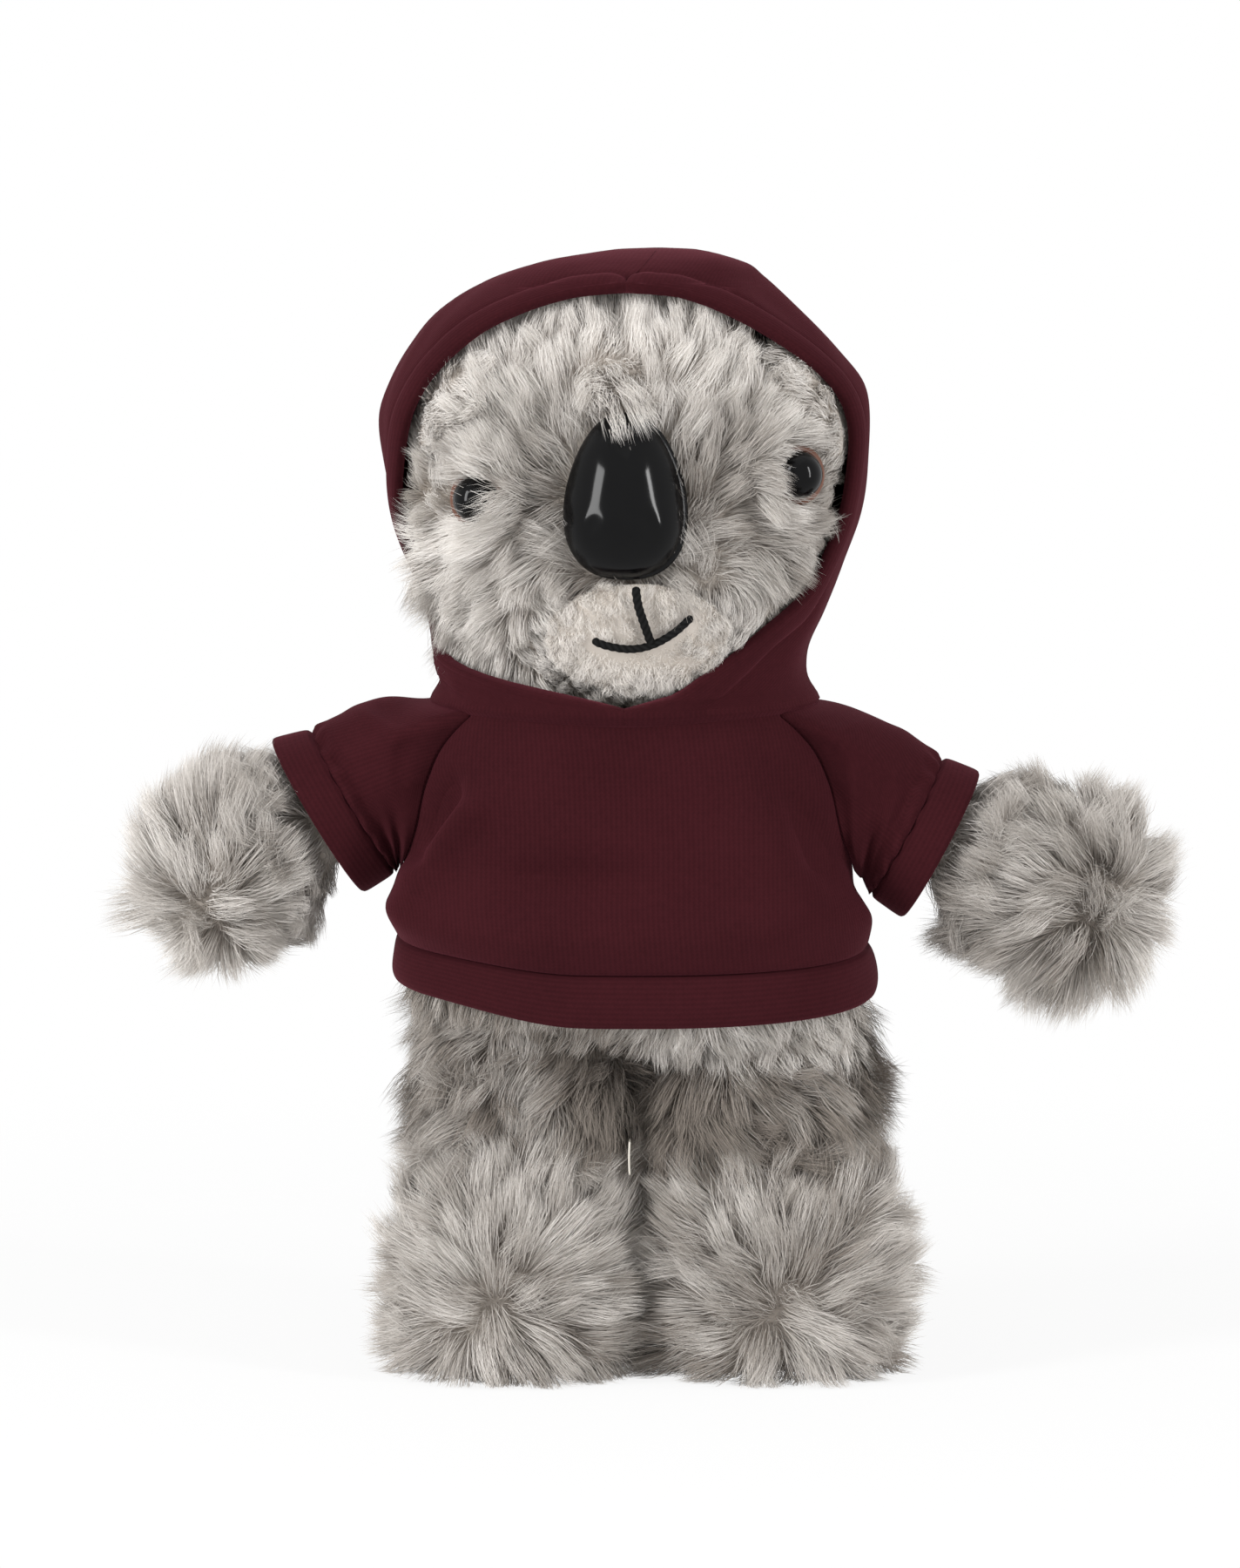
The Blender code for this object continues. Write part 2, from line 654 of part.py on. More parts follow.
def make_body_panel(name, front):
    """The front or back panel of the sweatshirt, between the side seams and the raglan seams."""
    heights = (HEM_SEAM + GAP, 82.0, 88.9, 92.5, 98.0, 105.0, 112.0, BODY_TOP)
    outer, inner = [], []
    for z in heights:
        seam = through_table(ARMHOLE, 1, z)
        turns = [blend(-seam, seam, i / (PANEL_COLUMNS - 1)) for i in range(PANEL_COLUMNS)]
        if not front:
            turns = [180 - t for t in turns]
        outer.append([drooped(body.point(t, z)) for t in turns])
        inner.append([drooped(body.point(t, z, -CLOTH)) for t in turns])
    solid(name, *panel(outer, inner), "burgundy_knit")


def make_hem():
    """The hem band, doubled cloth all round."""
    heights = (HEM_LOW, 71.4, HEM_SEAM)
    outer = [[drooped(p) for p in body.ring(z, HEM_SIDES, HEM_SWELL)] for z in heights]
    inner = [[drooped(p) for p in body.ring(z, HEM_SIDES, HEM_SWELL - BAND_CLOTH)] for z in heights]
    solid("hem_band", *tube_wall(outer, inner), "burgundy_knit")


def armhole_loop(arm):
    """The closed seam where a sleeve is sewn on: up the front seam, along the neck and down the back."""
    rising = [blend(ARMHOLE[0][0], BODY_TOP, i / 24) for i in range(25)]
    front = [body.point(arm.side * (through_table(ARMHOLE, 1, z) + SEAM_APART), z) for z in rising]
    back = [body.point(arm.side * (180 - through_table(ARMHOLE, 1, z) - SEAM_APART), z) for z in rising]
    turn = through_table(ARMHOLE, 1, BODY_TOP) + SEAM_APART
    neck = [body.point(arm.side * blend(turn, 180 - turn, i / 12), BODY_TOP) for i in range(1, 12)]
    return front + neck + back[::-1]


def on_loop(loop, centre, count):
    """Points of the loop at even angles round a centre, seen from the side."""
    def angle_of(point):
        return math.atan2(point.z - centre.z, point.y - centre.y)
    found = []
    for i in range(count):
        wanted = -math.pi + 2 * math.pi * (i + 0.5) / count
        for here, ahead in zip(loop, loop[1:] + loop[:1]):
            low, high = angle_of(here), angle_of(ahead)
            span = (high - low + math.pi) % (2 * math.pi) - math.pi
            past = (wanted - low + math.pi) % (2 * math.pi) - math.pi
            if span != 0 and 0 <= past / span <= 1 and abs(past) <= abs(span):
                found.append((wanted, here.lerp(ahead, past / span)))
                break
    return found


def cuff_ring(arm, centre, radius, angle_list, shift=0.0):
    """A ring across the arm at the cuff, with its points at the given angles."""
    slope = math.radians(arm.slope)
    ahead = Vector((arm.side * math.cos(slope), 0, -math.sin(slope)))
    up = Vector((arm.side * math.sin(slope), 0, math.cos(slope)))
    middle = Vector((centre[0], 0, centre[1])) + ahead * shift
    return [middle + radius * (Vector((0, math.cos(a), 0)) + up * math.sin(a)) for a in angle_list]


def make_sleeve(name, arm):
    """A raglan sleeve, from its seam to the cuff. It is fuller over the shoulder than under the arm."""
    shares = (0.0, 0.3, 0.65, 1.0)
    loop = armhole_loop(arm)
    centre = sum(loop, Vector()) / len(loop)
    placed = on_loop(loop, centre, SLEEVE_SIDES)
    angles = [angle for angle, _ in placed]
    root = [point for _, point in placed]
    outer, inner = [], []
    for share in shares:
        end = cuff_ring(arm, arm.seam_centre, arm.seam_radius, angles, -GAP)
        bulge = SLEEVE_FULLNESS * math.sin(math.pi * share)
        ring = []
        for angle, low, high in zip(angles, root, end):
            full = bulge * max(math.sin(angle), 0)
            ring.append(low.lerp(high, share) + Vector((arm.side * full * 0.3, 0, full)))
        middle = sum(ring, Vector()) / len(ring)
        outer.append(ring)
        inner.append([p - (p - middle).normalized() * CLOTH for p in ring])
    solid(f"sleeve_{name}", *tube_wall(outer, inner), "burgundy_knit")


def make_cuff(name, arm, carrier):
    angles = [2 * math.pi * i / SLEEVE_SIDES for i in range(SLEEVE_SIDES)]
    stations = ((0.0, 0.0), (0.5, 0.35), (1.0, 0.0))
    outer, inner = [], []
    for share, swell in stations:
        centre = [blend(a, b, share) for a, b in zip(arm.seam_centre, arm.edge_centre)]
        radius = blend(arm.seam_radius, arm.edge_radius, share)
        outer.append(cuff_ring(arm, centre, radius + swell, angles))
        inner.append(cuff_ring(arm, centre, radius - BAND_CLOTH, angles))
    solid(f"cuff_{name}", *tube_wall(outer, inner), "burgundy_knit", carrier)


class ArmLine:
    """The curved middle line of an arm: straight into the body, bent once, straight into the paw."""

    def __init__(self, arm):
        self.points = [Vector((p[0], 0, p[1])) for p in (arm.root, arm.bend, arm.paw)]
        steps = 40
        walk = [self.bezier(i / steps) for i in range(steps + 1)]
        self.lengths = [0.0]
        for here, ahead in zip(walk, walk[1:]):
            self.lengths.append(self.lengths[-1] + (ahead - here).length)
        self.length = self.lengths[-1]
        self.start = (self.points[1] - self.points[0]).normalized()
        self.end = (self.points[2] - self.points[1]).normalized()

    def bezier(self, t):
        root, bend, paw = self.points
        return root * (1 - t) ** 2 + bend * (2 * t * (1 - t)) + paw * t**2

    def at(self, along):
        """The place and direction this far along from the root."""
        if along <= 0:
            return self.points[0] + self.start * along, self.start
        if along >= self.length:
            return self.points[2] + self.end * (along - self.length), self.end
        index = max(i for i, length in enumerate(self.lengths) if length <= along)
        part = (along - self.lengths[index]) / (self.lengths[index + 1] - self.lengths[index])
        t = (index + part) / (len(self.lengths) - 1)
        ahead = (self.bezier(min(t + 0.01, 1)) - self.bezier(max(t - 0.01, 0))).normalized()
        return self.bezier(t), ahead

    def ring(self, along, across, deep, count):
        centre, ahead = self.at(along)
        side = Vector((0, 1, 0))
        up = side.cross(ahead)
        angles = [2 * math.pi * i / count for i in range(count)]
        return [centre + up * (across * math.cos(a)) + side * (deep * math.sin(a)) for a in angles]


def arm_stations(line, arm, inset, rim):
    """How far along, half height and half depth of an arm's rings: a round root, slim at the cuff, a full
    round paw."""
    stations = []
    for share in (rim, 0.5, 0.0):
        shrink = math.sqrt(1 - share * share)
        root, deep = ARM_ROOT_RADIUS - inset, ARM_ROOT_DEPTH - inset
        stations.append((-share * root, root * shrink, deep * shrink))
    for share, half, deep in ((0.3, 9.8, 9.8), (0.55, 9.9, 10.4), (0.7, 12.4, 12.8), (0.84, 15.6, 15.4),
                              (0.93, 17.0, 16.8)):
        stations.append((share * line.length, half - inset, deep - inset))
    paw = arm.paw_radius - inset
    for degrees in (0, 25, 50, 73):
        angle = math.radians(degrees)
        stations.append((line.length + paw * math.sin(angle), paw * math.cos(angle), paw * math.cos(angle)))
    return stations, line.length + paw


def make_arm(name, arm, carrier):
    """The arm skin has a small filling hole at its root, and holds the filling of the arm and paw."""
    line = ArmLine(arm)
    outer_stations, outer_end = arm_stations(line, arm, 0.0, ARM_FILL_HOLE)
    inner_stations, inner_end = arm_stations(line, arm, SKIN, ARM_FILL_HOLE)
    outer = [line.ring(*s, ARM_SIDES) for s in outer_stations]
    inner = [line.ring(*s, ARM_SIDES) for s in inner_stations]
    wall = cup(outer, inner, line.at(outer_end)[0], line.at(inner_end)[0])
    solid(f"arm_skin_{name}", *wall, "grey_plush", carrier)
    stations, end = arm_stations(line, arm, SKIN + FILL_GAP, ARM_FILL_HOLE)
    rings = [line.ring(*s, FILLING_SIDES) for s in stations]
    low = line.at(stations[0][0])[0]
    solid(f"arm_stuffing_{name}", *filled_loft(rings, low, line.at(end)[0]), "white_fibre", carrier)


def leg_slices(leg, inset):
    """A leg's level slices, from the sole up to the round hip: a full round foot, a narrow ankle and a
    thigh that swells again."""
    def slice_of(z, outer, front, back, power):
        half = (outer - leg.side * leg.inner) / 2
        centre = leg.inner + leg.side * half
        y = (back - front) / 2
        reach = (front + back) / 2
        return Slice(z, centre, y, half - inset, reach - inset, reach - inset, power)
    foot, thigh = leg.foot, leg.thigh
    hip_front, hip_back = HIP_RADIUS - HIP_CENTRE.y, HIP_RADIUS + HIP_CENTRE.y
    slices = [
        slice_of(inset, foot - 2.6, 24.5, 11.0, 2.4),
        slice_of(max(3.0, inset + 1.5), foot - 0.6, 27.0, 13.0, 2.4),
        slice_of(10.0, foot, 28.4, 14.0, 2.3),
        slice_of(19.0, foot, 28.2, 14.4, 2.2),
        slice_of(28.0, foot - 1.2, 25.4, 14.8, 2.2),
        slice_of(34.0, foot - 4.0, 21.6, 15.2, 2.2),
        slice_of(FOOT_HEIGHT + 1.5, thigh - 0.6, 18.4, 15.8, 2.2),
        slice_of(47.0, thigh, 18.8, 16.8, 2.1),
        slice_of(HIP_CENTRE.z, thigh, hip_front, hip_back, 2.0),
    ]
    for degrees in (24, 46, 66):
        angle = math.radians(degrees)
        top = slices[8]
        shrink = math.cos(angle)
        slices.append(top._replace(z=HIP_CENTRE.z + top.front * math.sin(angle), half=top.half * shrink,
                                   front=top.front * shrink, back=top.back * shrink))
    return slices


def level_ring(piece, count):
    """The outline of one slice."""
    points = []
    power = 2 / piece.power
    for i in range(count):
        side, ahead = math.sin(2 * math.pi * i / count), math.cos(2 * math.pi * i / count)
        reach = piece.front if ahead > 0 else piece.back
        x = piece.x + piece.half * math.copysign(abs(side) ** power, side)
        y = piece.y - reach * math.copysign(abs(ahead) ** power, ahead)
        points.append(Vector((x, y, piece.z)))
    return points


def make_leg(name, leg, carrier):
    """The leg skin stands on a flat sole, and has a filling hole at the top of its round hip."""
    outer_slices = leg_slices(leg, 0.0)[::-1]
    inner_slices = leg_slices(leg, SKIN)[::-1]
    outer = [level_ring(s, LEG_SIDES) for s in outer_slices]
    inner = [level_ring(s, LEG_SIDES) for s in inner_slices]
    sole = Vector((outer_slices[-1].x, outer_slices[-1].y, 0.0))
    wall = cup(outer, inner, sole, sole + Vector((0, 0, SKIN)))
    solid(f"leg_skin_{name}", *wall, "grey_plush", carrier)
    slices = leg_slices(leg, SKIN + FILL_GAP)
    rings = [level_ring(s, FILLING_SIDES + 2) for s in slices]
    low = sole + Vector((0, 0, SKIN + FILL_GAP))
    high = Vector((slices[-1].x, slices[-1].y, slices[-1].z))
    solid(f"leg_stuffing_{name}", *filled_loft(rings, low, high), "white_fibre", carrier)


def make_label(carrier):
    """A short blank tape, sewn into the inner seam of the left leg and seen edge on from the front."""
    low, high = Vector((-3.75, -17.2, 36.4)), Vector((-3.4, -12.4, 42.2))
    corners = [(x, y, z) for z in (low.z, high.z) for y in (low.y, high.y) for x in (low.x, high.x)]
    faces = [(0, 1, 3, 2), (4, 6, 7, 5), (0, 4, 5, 1), (2, 3, 7, 6), (0, 2, 6, 4), (1, 5, 7, 3)]
    solid("care_label", corners, faces, "label_tape", carrier)


def main():
    for old in list(bpy.data.objects):
        bpy.data.objects.remove(old)
    neck = pivot("neck_pivot", (NECK_AXIS_X, 0, NECK_HEIGHT))
    make_torso()
    skin, filling = make_head(neck)
    for name, place in EYES.items():
        make_eye(name, place, skin, filling, neck)
    make_nose(skin, filling, neck)
    make_muzzle(neck)
    make_body_panel("hoodie_front", True)
    make_body_panel("hoodie_back", False)
    make_hem()
    for name, arm in ARMS.items():
        make_ear(name, arm.side, neck)
        make_hood_half(name, arm.side, neck)
        shoulder = pivot(f"shoulder_{name}_pivot", (arm.root[0], 0, arm.root[1]))
        make_arm(name, arm, shoulder)
        make_sleeve(name, arm)
        make_cuff(name, arm, shoulder)
    for name, leg in LEGS.items():
        hip = pivot(f"hip_{name}_pivot", (leg.side * 20.0, HIP_CENTRE.y, HIP_CENTRE.z))
        make_leg(name, leg, hip)
        if name == "left":
            make_label(hip)
    bpy.context.view_layer.update()


main()
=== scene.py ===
"""A plush koala in a hooded sweatshirt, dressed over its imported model.

The plush is a backing with strands of pile on it, the sweatshirt is thin closed sheets of knit, and the eyes
and the nose are moulded. The face looks along -Y and +X is on the right of someone who looks at it. Tables
and lengths are in millimetres and turn into metres when a mesh is made.
"""

import json
import math

import bmesh
import bpy
import numpy as np
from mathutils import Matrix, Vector

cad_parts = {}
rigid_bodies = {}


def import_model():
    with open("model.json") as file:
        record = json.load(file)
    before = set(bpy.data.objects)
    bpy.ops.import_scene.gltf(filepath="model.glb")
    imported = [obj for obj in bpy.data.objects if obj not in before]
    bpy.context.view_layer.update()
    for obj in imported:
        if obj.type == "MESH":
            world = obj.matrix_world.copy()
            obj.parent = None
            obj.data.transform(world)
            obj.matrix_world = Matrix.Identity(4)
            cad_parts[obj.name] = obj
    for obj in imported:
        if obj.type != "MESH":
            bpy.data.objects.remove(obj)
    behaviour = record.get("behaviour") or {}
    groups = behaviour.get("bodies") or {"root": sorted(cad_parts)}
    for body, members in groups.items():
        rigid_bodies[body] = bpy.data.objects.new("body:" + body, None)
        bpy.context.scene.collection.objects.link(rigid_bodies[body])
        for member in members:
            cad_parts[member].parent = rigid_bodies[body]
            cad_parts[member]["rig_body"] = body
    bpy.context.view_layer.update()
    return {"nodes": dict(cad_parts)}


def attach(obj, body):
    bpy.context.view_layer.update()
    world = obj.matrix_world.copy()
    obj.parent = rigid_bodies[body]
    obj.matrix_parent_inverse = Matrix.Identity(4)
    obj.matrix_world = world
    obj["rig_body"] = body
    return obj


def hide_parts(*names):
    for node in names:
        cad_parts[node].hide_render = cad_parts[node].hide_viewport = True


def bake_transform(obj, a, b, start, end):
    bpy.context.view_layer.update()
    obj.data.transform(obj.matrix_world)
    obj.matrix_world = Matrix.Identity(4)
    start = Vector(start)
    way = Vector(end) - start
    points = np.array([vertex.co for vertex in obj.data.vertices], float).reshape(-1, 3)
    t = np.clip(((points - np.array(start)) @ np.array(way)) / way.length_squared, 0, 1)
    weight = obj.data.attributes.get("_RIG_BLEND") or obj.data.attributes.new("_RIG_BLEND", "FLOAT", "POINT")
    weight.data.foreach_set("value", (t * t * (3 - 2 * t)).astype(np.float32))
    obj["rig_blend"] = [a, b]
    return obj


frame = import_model()

bl_info = {
    "name": "Plush koala",
    "version": (1, 0, 0),
    "blender": (4, 5, 0),
    "location": "View3D > Sidebar > Plush koala",
    "description": "Makes the plush, the sweatshirt and the face of a toy koala around its packed model",
    "category": "Add Mesh",
}

MM = 0.001
CLOTH = 1.3
BAND_CLOTH = 2.0
GAP = 0.4
NECK_HEIGHT = 119.2
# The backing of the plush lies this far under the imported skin's surface
BACKING = 2.4

# Level slices: height, x, y, half width, reach to the front, reach to the back, power of the outline
HEAD = (
    (119.6, -4.2, 0, 20.0, 20.0, 20.0, 2.0),
    (122.0, -4.1, 0, 25.0, 24.5, 25.0, 2.0),
    (126.0, -4.0, 0, 28.0, 28.0, 28.5, 2.1),
    (133.0, -3.8, 0, 30.5, 32.2, 30.8, 2.15),
    (142.0, -3.6, 0, 34.0, 35.2, 33.5, 2.2),
    (152.0, -3.5, 0, 37.0, 35.8, 35.0, 2.2),
    (162.0, -3.5, 0, 37.5, 34.6, 35.5, 2.2),
    (171.0, -3.5, 0, 36.0, 32.4, 34.5, 2.2),
    (179.0, -3.5, 0, 32.4, 28.8, 31.5, 2.1),
    (186.0, -3.4, 0, 27.0, 23.6, 26.5, 2.0),
    (191.5, -3.2, 0, 20.0, 17.4, 20.0, 2.0),
    (195.0, -3.0, 0, 12.0, 10.5, 12.5, 2.0),
    (196.8, -3.0, 0, 4.0, 3.5, 4.5, 2.0),
)
HOOD = (
    (119.6, -4.4, 0, 32.8, 29.5, 29.5, 2.0),
    (128.0, -4.8, 0, 33.2, 33.5, 32.0, 2.0),
    (135.0, -4.4, 0, 35.4, 37.0, 35.0, 2.0),
    (143.0, -4.2, 0, 38.3, 38.5, 38.0, 2.0),
    (152.0, -4.0, 0, 41.3, 38.5, 40.8, 2.0),
    (162.0, -4.2, 0, 43.2, 38.0, 42.8, 2.0),
    (170.0, -4.4, 0, 43.8, 37.6, 43.2, 2.0),
    (176.0, -4.3, 0, 42.0, 36.4, 41.6, 2.0),
    (182.0, -4.8, 0, 38.0, 33.6, 38.0, 2.0),
    (188.5, -5.4, 0, 32.0, 28.6, 32.0, 2.0),
    (194.2, -4.0, 0, 24.4, 21.6, 24.0, 2.0),
    (197.8, -0.5, 0, 16.5, 14.0, 15.0, 2.0),
    (199.3, 1.0, 0, 7.5, 6.5, 7.0, 2.0),
    (199.6, 1.5, 0, 1.6, 1.6, 1.6, 2.0),
)
# Height, then degrees from the front to the left and to the right edge of the face opening
HOOD_OPENING = (
    (121.0, 3.0, 3.0), (122.4, 18.0, 15.0), (125.0, 48.0, 24.0), (129.0, 86.0, 36.0), (134.0, 96.0, 47.0),
    (140.0, 96.0, 61.0), (148.0, 86.0, 66.0), (158.0, 73.0, 68.0), (168.0, 63.0, 67.0), (177.5, 58.0, 61.0),
    (184.0, 50.0, 52.0), (189.0, 38.0, 40.0), (192.6, 20.0, 22.0), (193.6, 3.0, 3.0),
)
BODY = (
    (58.0, -2.6, 0, 40.0, 30.0, 28.0, 2.2),
    (66.0, -2.6, 0, 42.5, 32.2, 30.0, 2.3),
    (75.0, -2.9, 0, 41.6, 32.4, 30.0, 2.4),
    (84.0, -3.9, 0, 40.7, 31.8, 29.6, 2.5),
    (92.0, -3.9, 0, 40.0, 30.8, 29.2, 2.6),
    (102.0, -3.9, 0, 38.6, 29.4, 28.6, 2.6),
    (110.0, -4.0, 0, 36.4, 28.4, 28.2, 2.5),
    (115.0, -4.2, 0, 34.4, 28.6, 28.4, 2.3),
    (119.6, -4.4, 0, 32.8, 29.5, 29.5, 2.0),
)
# The x of the upright axis that turns on the head are counted round
HEAD_AXIS = -3.5
# Above this height the rings of the head and the hood lie closer
CROWN = 190.0
BODY_TOP = NECK_HEIGHT - GAP / 2
HEM_LOW = 67.4
HEM_SEAM = 75.4
HEM_DROOP = 3.0
HEM_BACK_RISE = 1.8
HEM_LEFT_RISE = 3.0
HEM_DROOP_REACH = 32.0
HEM_SWELL = 0.5
TORSO_LOW = 59.0
TUCK = 7.0
TUCK_TOP = 69.0
# Height, then degrees from the front to the raglan seam
ARMHOLE = ((88.9, 89.0), (92.5, 78.0), (98.0, 71.0), (106.0, 69.0), (113.0, 64.0), (119.6, 52.0))
SEAM_APART = 1.6
# How far a sleeve's root goes under the edge of the panels, in degrees
ROOT_UNDER = 3.2
SLEEVE_FULLNESS = 2.2
# Where the panels meet under the arm, in degrees from the front
UNDERARM_MIDDLE = 89.9

ARMS = {
    "left": {
        "side": -1, "root": (-34.0, 102.5), "bend": (-53.0, 104.0), "paw": (-73.0, 89.5), "paw_radius": 17.4,
        "seam": (-53.0, 101.0), "seam_radius": 14.7, "edge": (-59.1, 98.4), "edge_radius": 15.8, "slope": 31,
        "whorl": (-77.7, 80.5), "pile_seed": 11, "sleeve_seed": 81, "hood_seed": 91,
    },
    "right": {
        "side": 1, "root": (27.0, 104.8), "bend": (47.0, 98.6), "paw": (73.2, 85.2), "paw_radius": 17.2,
        "seam": (46.0, 96.4), "seam_radius": 13.8, "edge": (51.9, 93.2), "edge_radius": 14.6, "slope": 28,
        "whorl": (80.4, 82.3), "pile_seed": 12, "sleeve_seed": 82, "hood_seed": 92,
    },
}
ARM_ROOT_RADIUS = 10.2
ARM_ROOT_DEPTH = 9.8
# Share of the arm's length, half height and half depth
ARM_GIRTH = ((0.3, 9.8, 9.8), (0.55, 9.9, 10.4), (0.7, 12.4, 12.8), (0.84, 15.6, 15.4), (0.93, 17.0, 16.8))

# dark: how much darker the upper leg is. On the right this is partly painted shade of the less lit side.
LEGS = {
    "left": {"side": -1, "inner": -1.7, "thigh": 39.8, "foot": 45.8, "whorl": (-29.0, 15.3), "dark": 0.0,
             "pile_seed": 15},
    "right": {"side": 1, "inner": -0.7, "thigh": 38.3, "foot": 45.2, "whorl": (21.7, 14.5), "dark": 0.2,
              "pile_seed": 16},
}
HIP_HEIGHT = 62.0
HIP_RADIUS = 18.5
# Patches of this spread round a whorl, squared, where the comb is tangled
WHORL_SPREAD = 80.0

# The bulge of the skin beside each eye, then of the pile over it: where it starts, its length and its lift
EYES = {
    "left": {"side": -1, "at": (-29.6, 156.8), "mound": 3.4, "lid": (1.2, 1.25, 0.45)},
    "right": {"side": 1, "at": (25.2, 160.8), "mound": 2.6, "lid": (-1.5, 0.85, -0.5)},
}
EYE_RADIUS = 5.3
EYE_RIM = 0.9
EYE_RIM_WIDE = 1.15
# How much more than the skin under them the eyes look to the front
EYE_FORWARD = 0.8
EYE_DOME = 4.3
EYE_STEM = 1.6
STEM_LENGTH = 9.0
NOSE_CENTRE = (-4.3, 157.8)
NOSE_HALF = (10.6, 14.4)
NOSE_TAPER = 0.2
NOSE_SQUARENESS = 0.82
NOSE_RISE = 6.9
# From this share of its half width on, the nose is satin
NOSE_SATIN = 0.87
NOSE_STEM = 2.0
MUZZLE_CENTRE = (-2.2, 133.0)
MUZZLE_HALF = (15.5, 9.6)
MUZZLE_THICKNESS = 1.4
THREAD_RADIUS = 0.65
MOUTH_SMILE = ((-10.1, 132.8), (-7.6, 131.8), (-3.6, 131.2), (0.2, 131.9), (4.0, 134.0), (7.3, 137.0))
MOUTH_STROKE = ((-2.6, 142.4), (-2.1, 139.0), (-0.9, 135.2), (0.2, 132.0))
EAR_TURN = 74.0
EAR_HEIGHT = 174.0
EAR_HALF = (26.0, 11.0)
EAR_THICKNESS = 2.2
LABEL_LOW = (-3.75, -17.2, 36.4)
LABEL_HIGH = (-3.4, -12.4, 42.2)
FILLING_VOXEL = 1.6

# The camera: distance, height of its aim, elevation in degrees, and the axis of its view
VIEW_DISTANCE = 1500.0
VIEW_HEIGHT = 100.0
VIEW_ELEVATION = 6.0
VIEW_X = -5.27
VIEW_RAISE = 4.03
VIEW_LENS = 193.5
VIEW_REACH = 20.0
FLOOR_RADIUS = 420.0
FLOOR_TONE = (0.92, 0.92, 0.92, 1)
# The shares of its radius between which the floor fades out
FLOOR_FADE = (0.3, 0.9)
# How much of the floor's brightness towards the camera is its own, so that it is white
FLOOR_GLOW = 0.88
WORLD_LIGHT = 0.55
# Lamps: name, place and size in metres, power in watts
LAMPS = (
    ("key_left", (-0.78, -0.58, 0.44), (0.22, 0.8), 9.0),
    ("key_right", (0.78, -0.58, 0.40), (0.09, 0.8), 6.2),
    ("top", (-0.1, -0.15, 1.1), (0.9, 0.7), 0.4),
)
LAMP_AIM = (0, 0, 0.1)


def vector(*parts):
    return np.array(parts, float)


def in_plane(pair):
    """The point of the plane y = 0 with this x and height."""
    return vector(pair[0], 0, pair[1])


def stacked(*parts):
    """Vectors from their x, y and z, each a number or an array."""
    return np.stack(np.broadcast_arrays(*parts), axis=-1)


def unit(vectors):
    return vectors / np.maximum(np.linalg.norm(vectors, axis=-1, keepdims=True), 1e-9)


def laid(vectors, normals):
    """The directions of these vectors along a surface with these normals."""
    return unit(vectors - normals * np.sum(vectors * normals, axis=-1, keepdims=True))


def mixed(first, second, share):
    return first * (1 - share) + second * share


def circle(count, whole=2 * math.pi):
    return np.linspace(0, whole, count, endpoint=False)


def levels(low, middle, high, below, above):
    """Heights from low to high, with a spacing of their own below and above the middle."""
    return np.concatenate([np.linspace(low, middle, below)[:-1], np.linspace(middle, high, above)])


def ramp(low, high, values):
    """A smooth step from 0 at low to 1 at high."""
    share = np.clip((np.asarray(values, float) - low) / (high - low), 0.0, 1.0)
    return share * share * (3 - 2 * share)


def bump(centre, half, values):
    """A soft hill of height 1, with its foot this far from its centre."""
    return ramp(1.0, 0.0, np.abs(np.asarray(values, float) - centre) / half)


def gauss(values, width, power=2):
    return np.exp(-((values / width) ** power))


def smooth_table(knots, values, at):
    """The smooth curve through the values at these knots, read at many places."""
    knots, values = np.asarray(knots, float), np.asarray(values, float)
    at = np.clip(at, knots[0], knots[-1])
    count = len(knots)
    index = np.clip(np.searchsorted(knots, at, side="right") - 1, 0, count - 2)
    before, after = np.maximum(np.arange(count) - 1, 0), np.minimum(np.arange(count) + 1, count - 1)
    slopes = (values[after] - values[before]) / (knots[after] - knots[before])
    width = knots[index + 1] - knots[index]
    t = (at - knots[index]) / width
    return (
        (2 * t**3 - 3 * t**2 + 1) * values[index]
        + (t**3 - 2 * t**2 + t) * width * slopes[index]
        + (3 * t**2 - 2 * t**3) * values[index + 1]
        + (t**3 - t**2) * width * slopes[index + 1]
    )


def column_of(table, column, at):
    return smooth_table([row[0] for row in table], [row[column] for row in table], at)


def curve(places, count):
    """The x and height of a smooth line through these places."""
    at = np.linspace(0, len(places) - 1, count)
    return [smooth_table(np.arange(len(places)), [place[i] for place in places], at) for i in (0, 1)]


def superellipse(slices, turn, z):
    """Points of a soft form through level slices, at turns in degrees from the front towards +X."""
    turn, z = np.broadcast_arrays(np.asarray(turn, float), np.asarray(z, float))
    z = np.clip(z, slices[0][0], slices[-1][0])
    side, ahead = np.sin(np.radians(turn)), np.cos(np.radians(turn))
    middle_x, middle_y, half, front, back, power = (column_of(slices, i, z) for i in range(1, 7))
    power = 2 / power
    x = middle_x + half * np.sign(side) * np.abs(side) ** power
    y = middle_y - np.where(ahead > 0, front, back) * np.sign(ahead) * np.abs(ahead) ** power
    return np.stack([x, y, z], axis=-1)


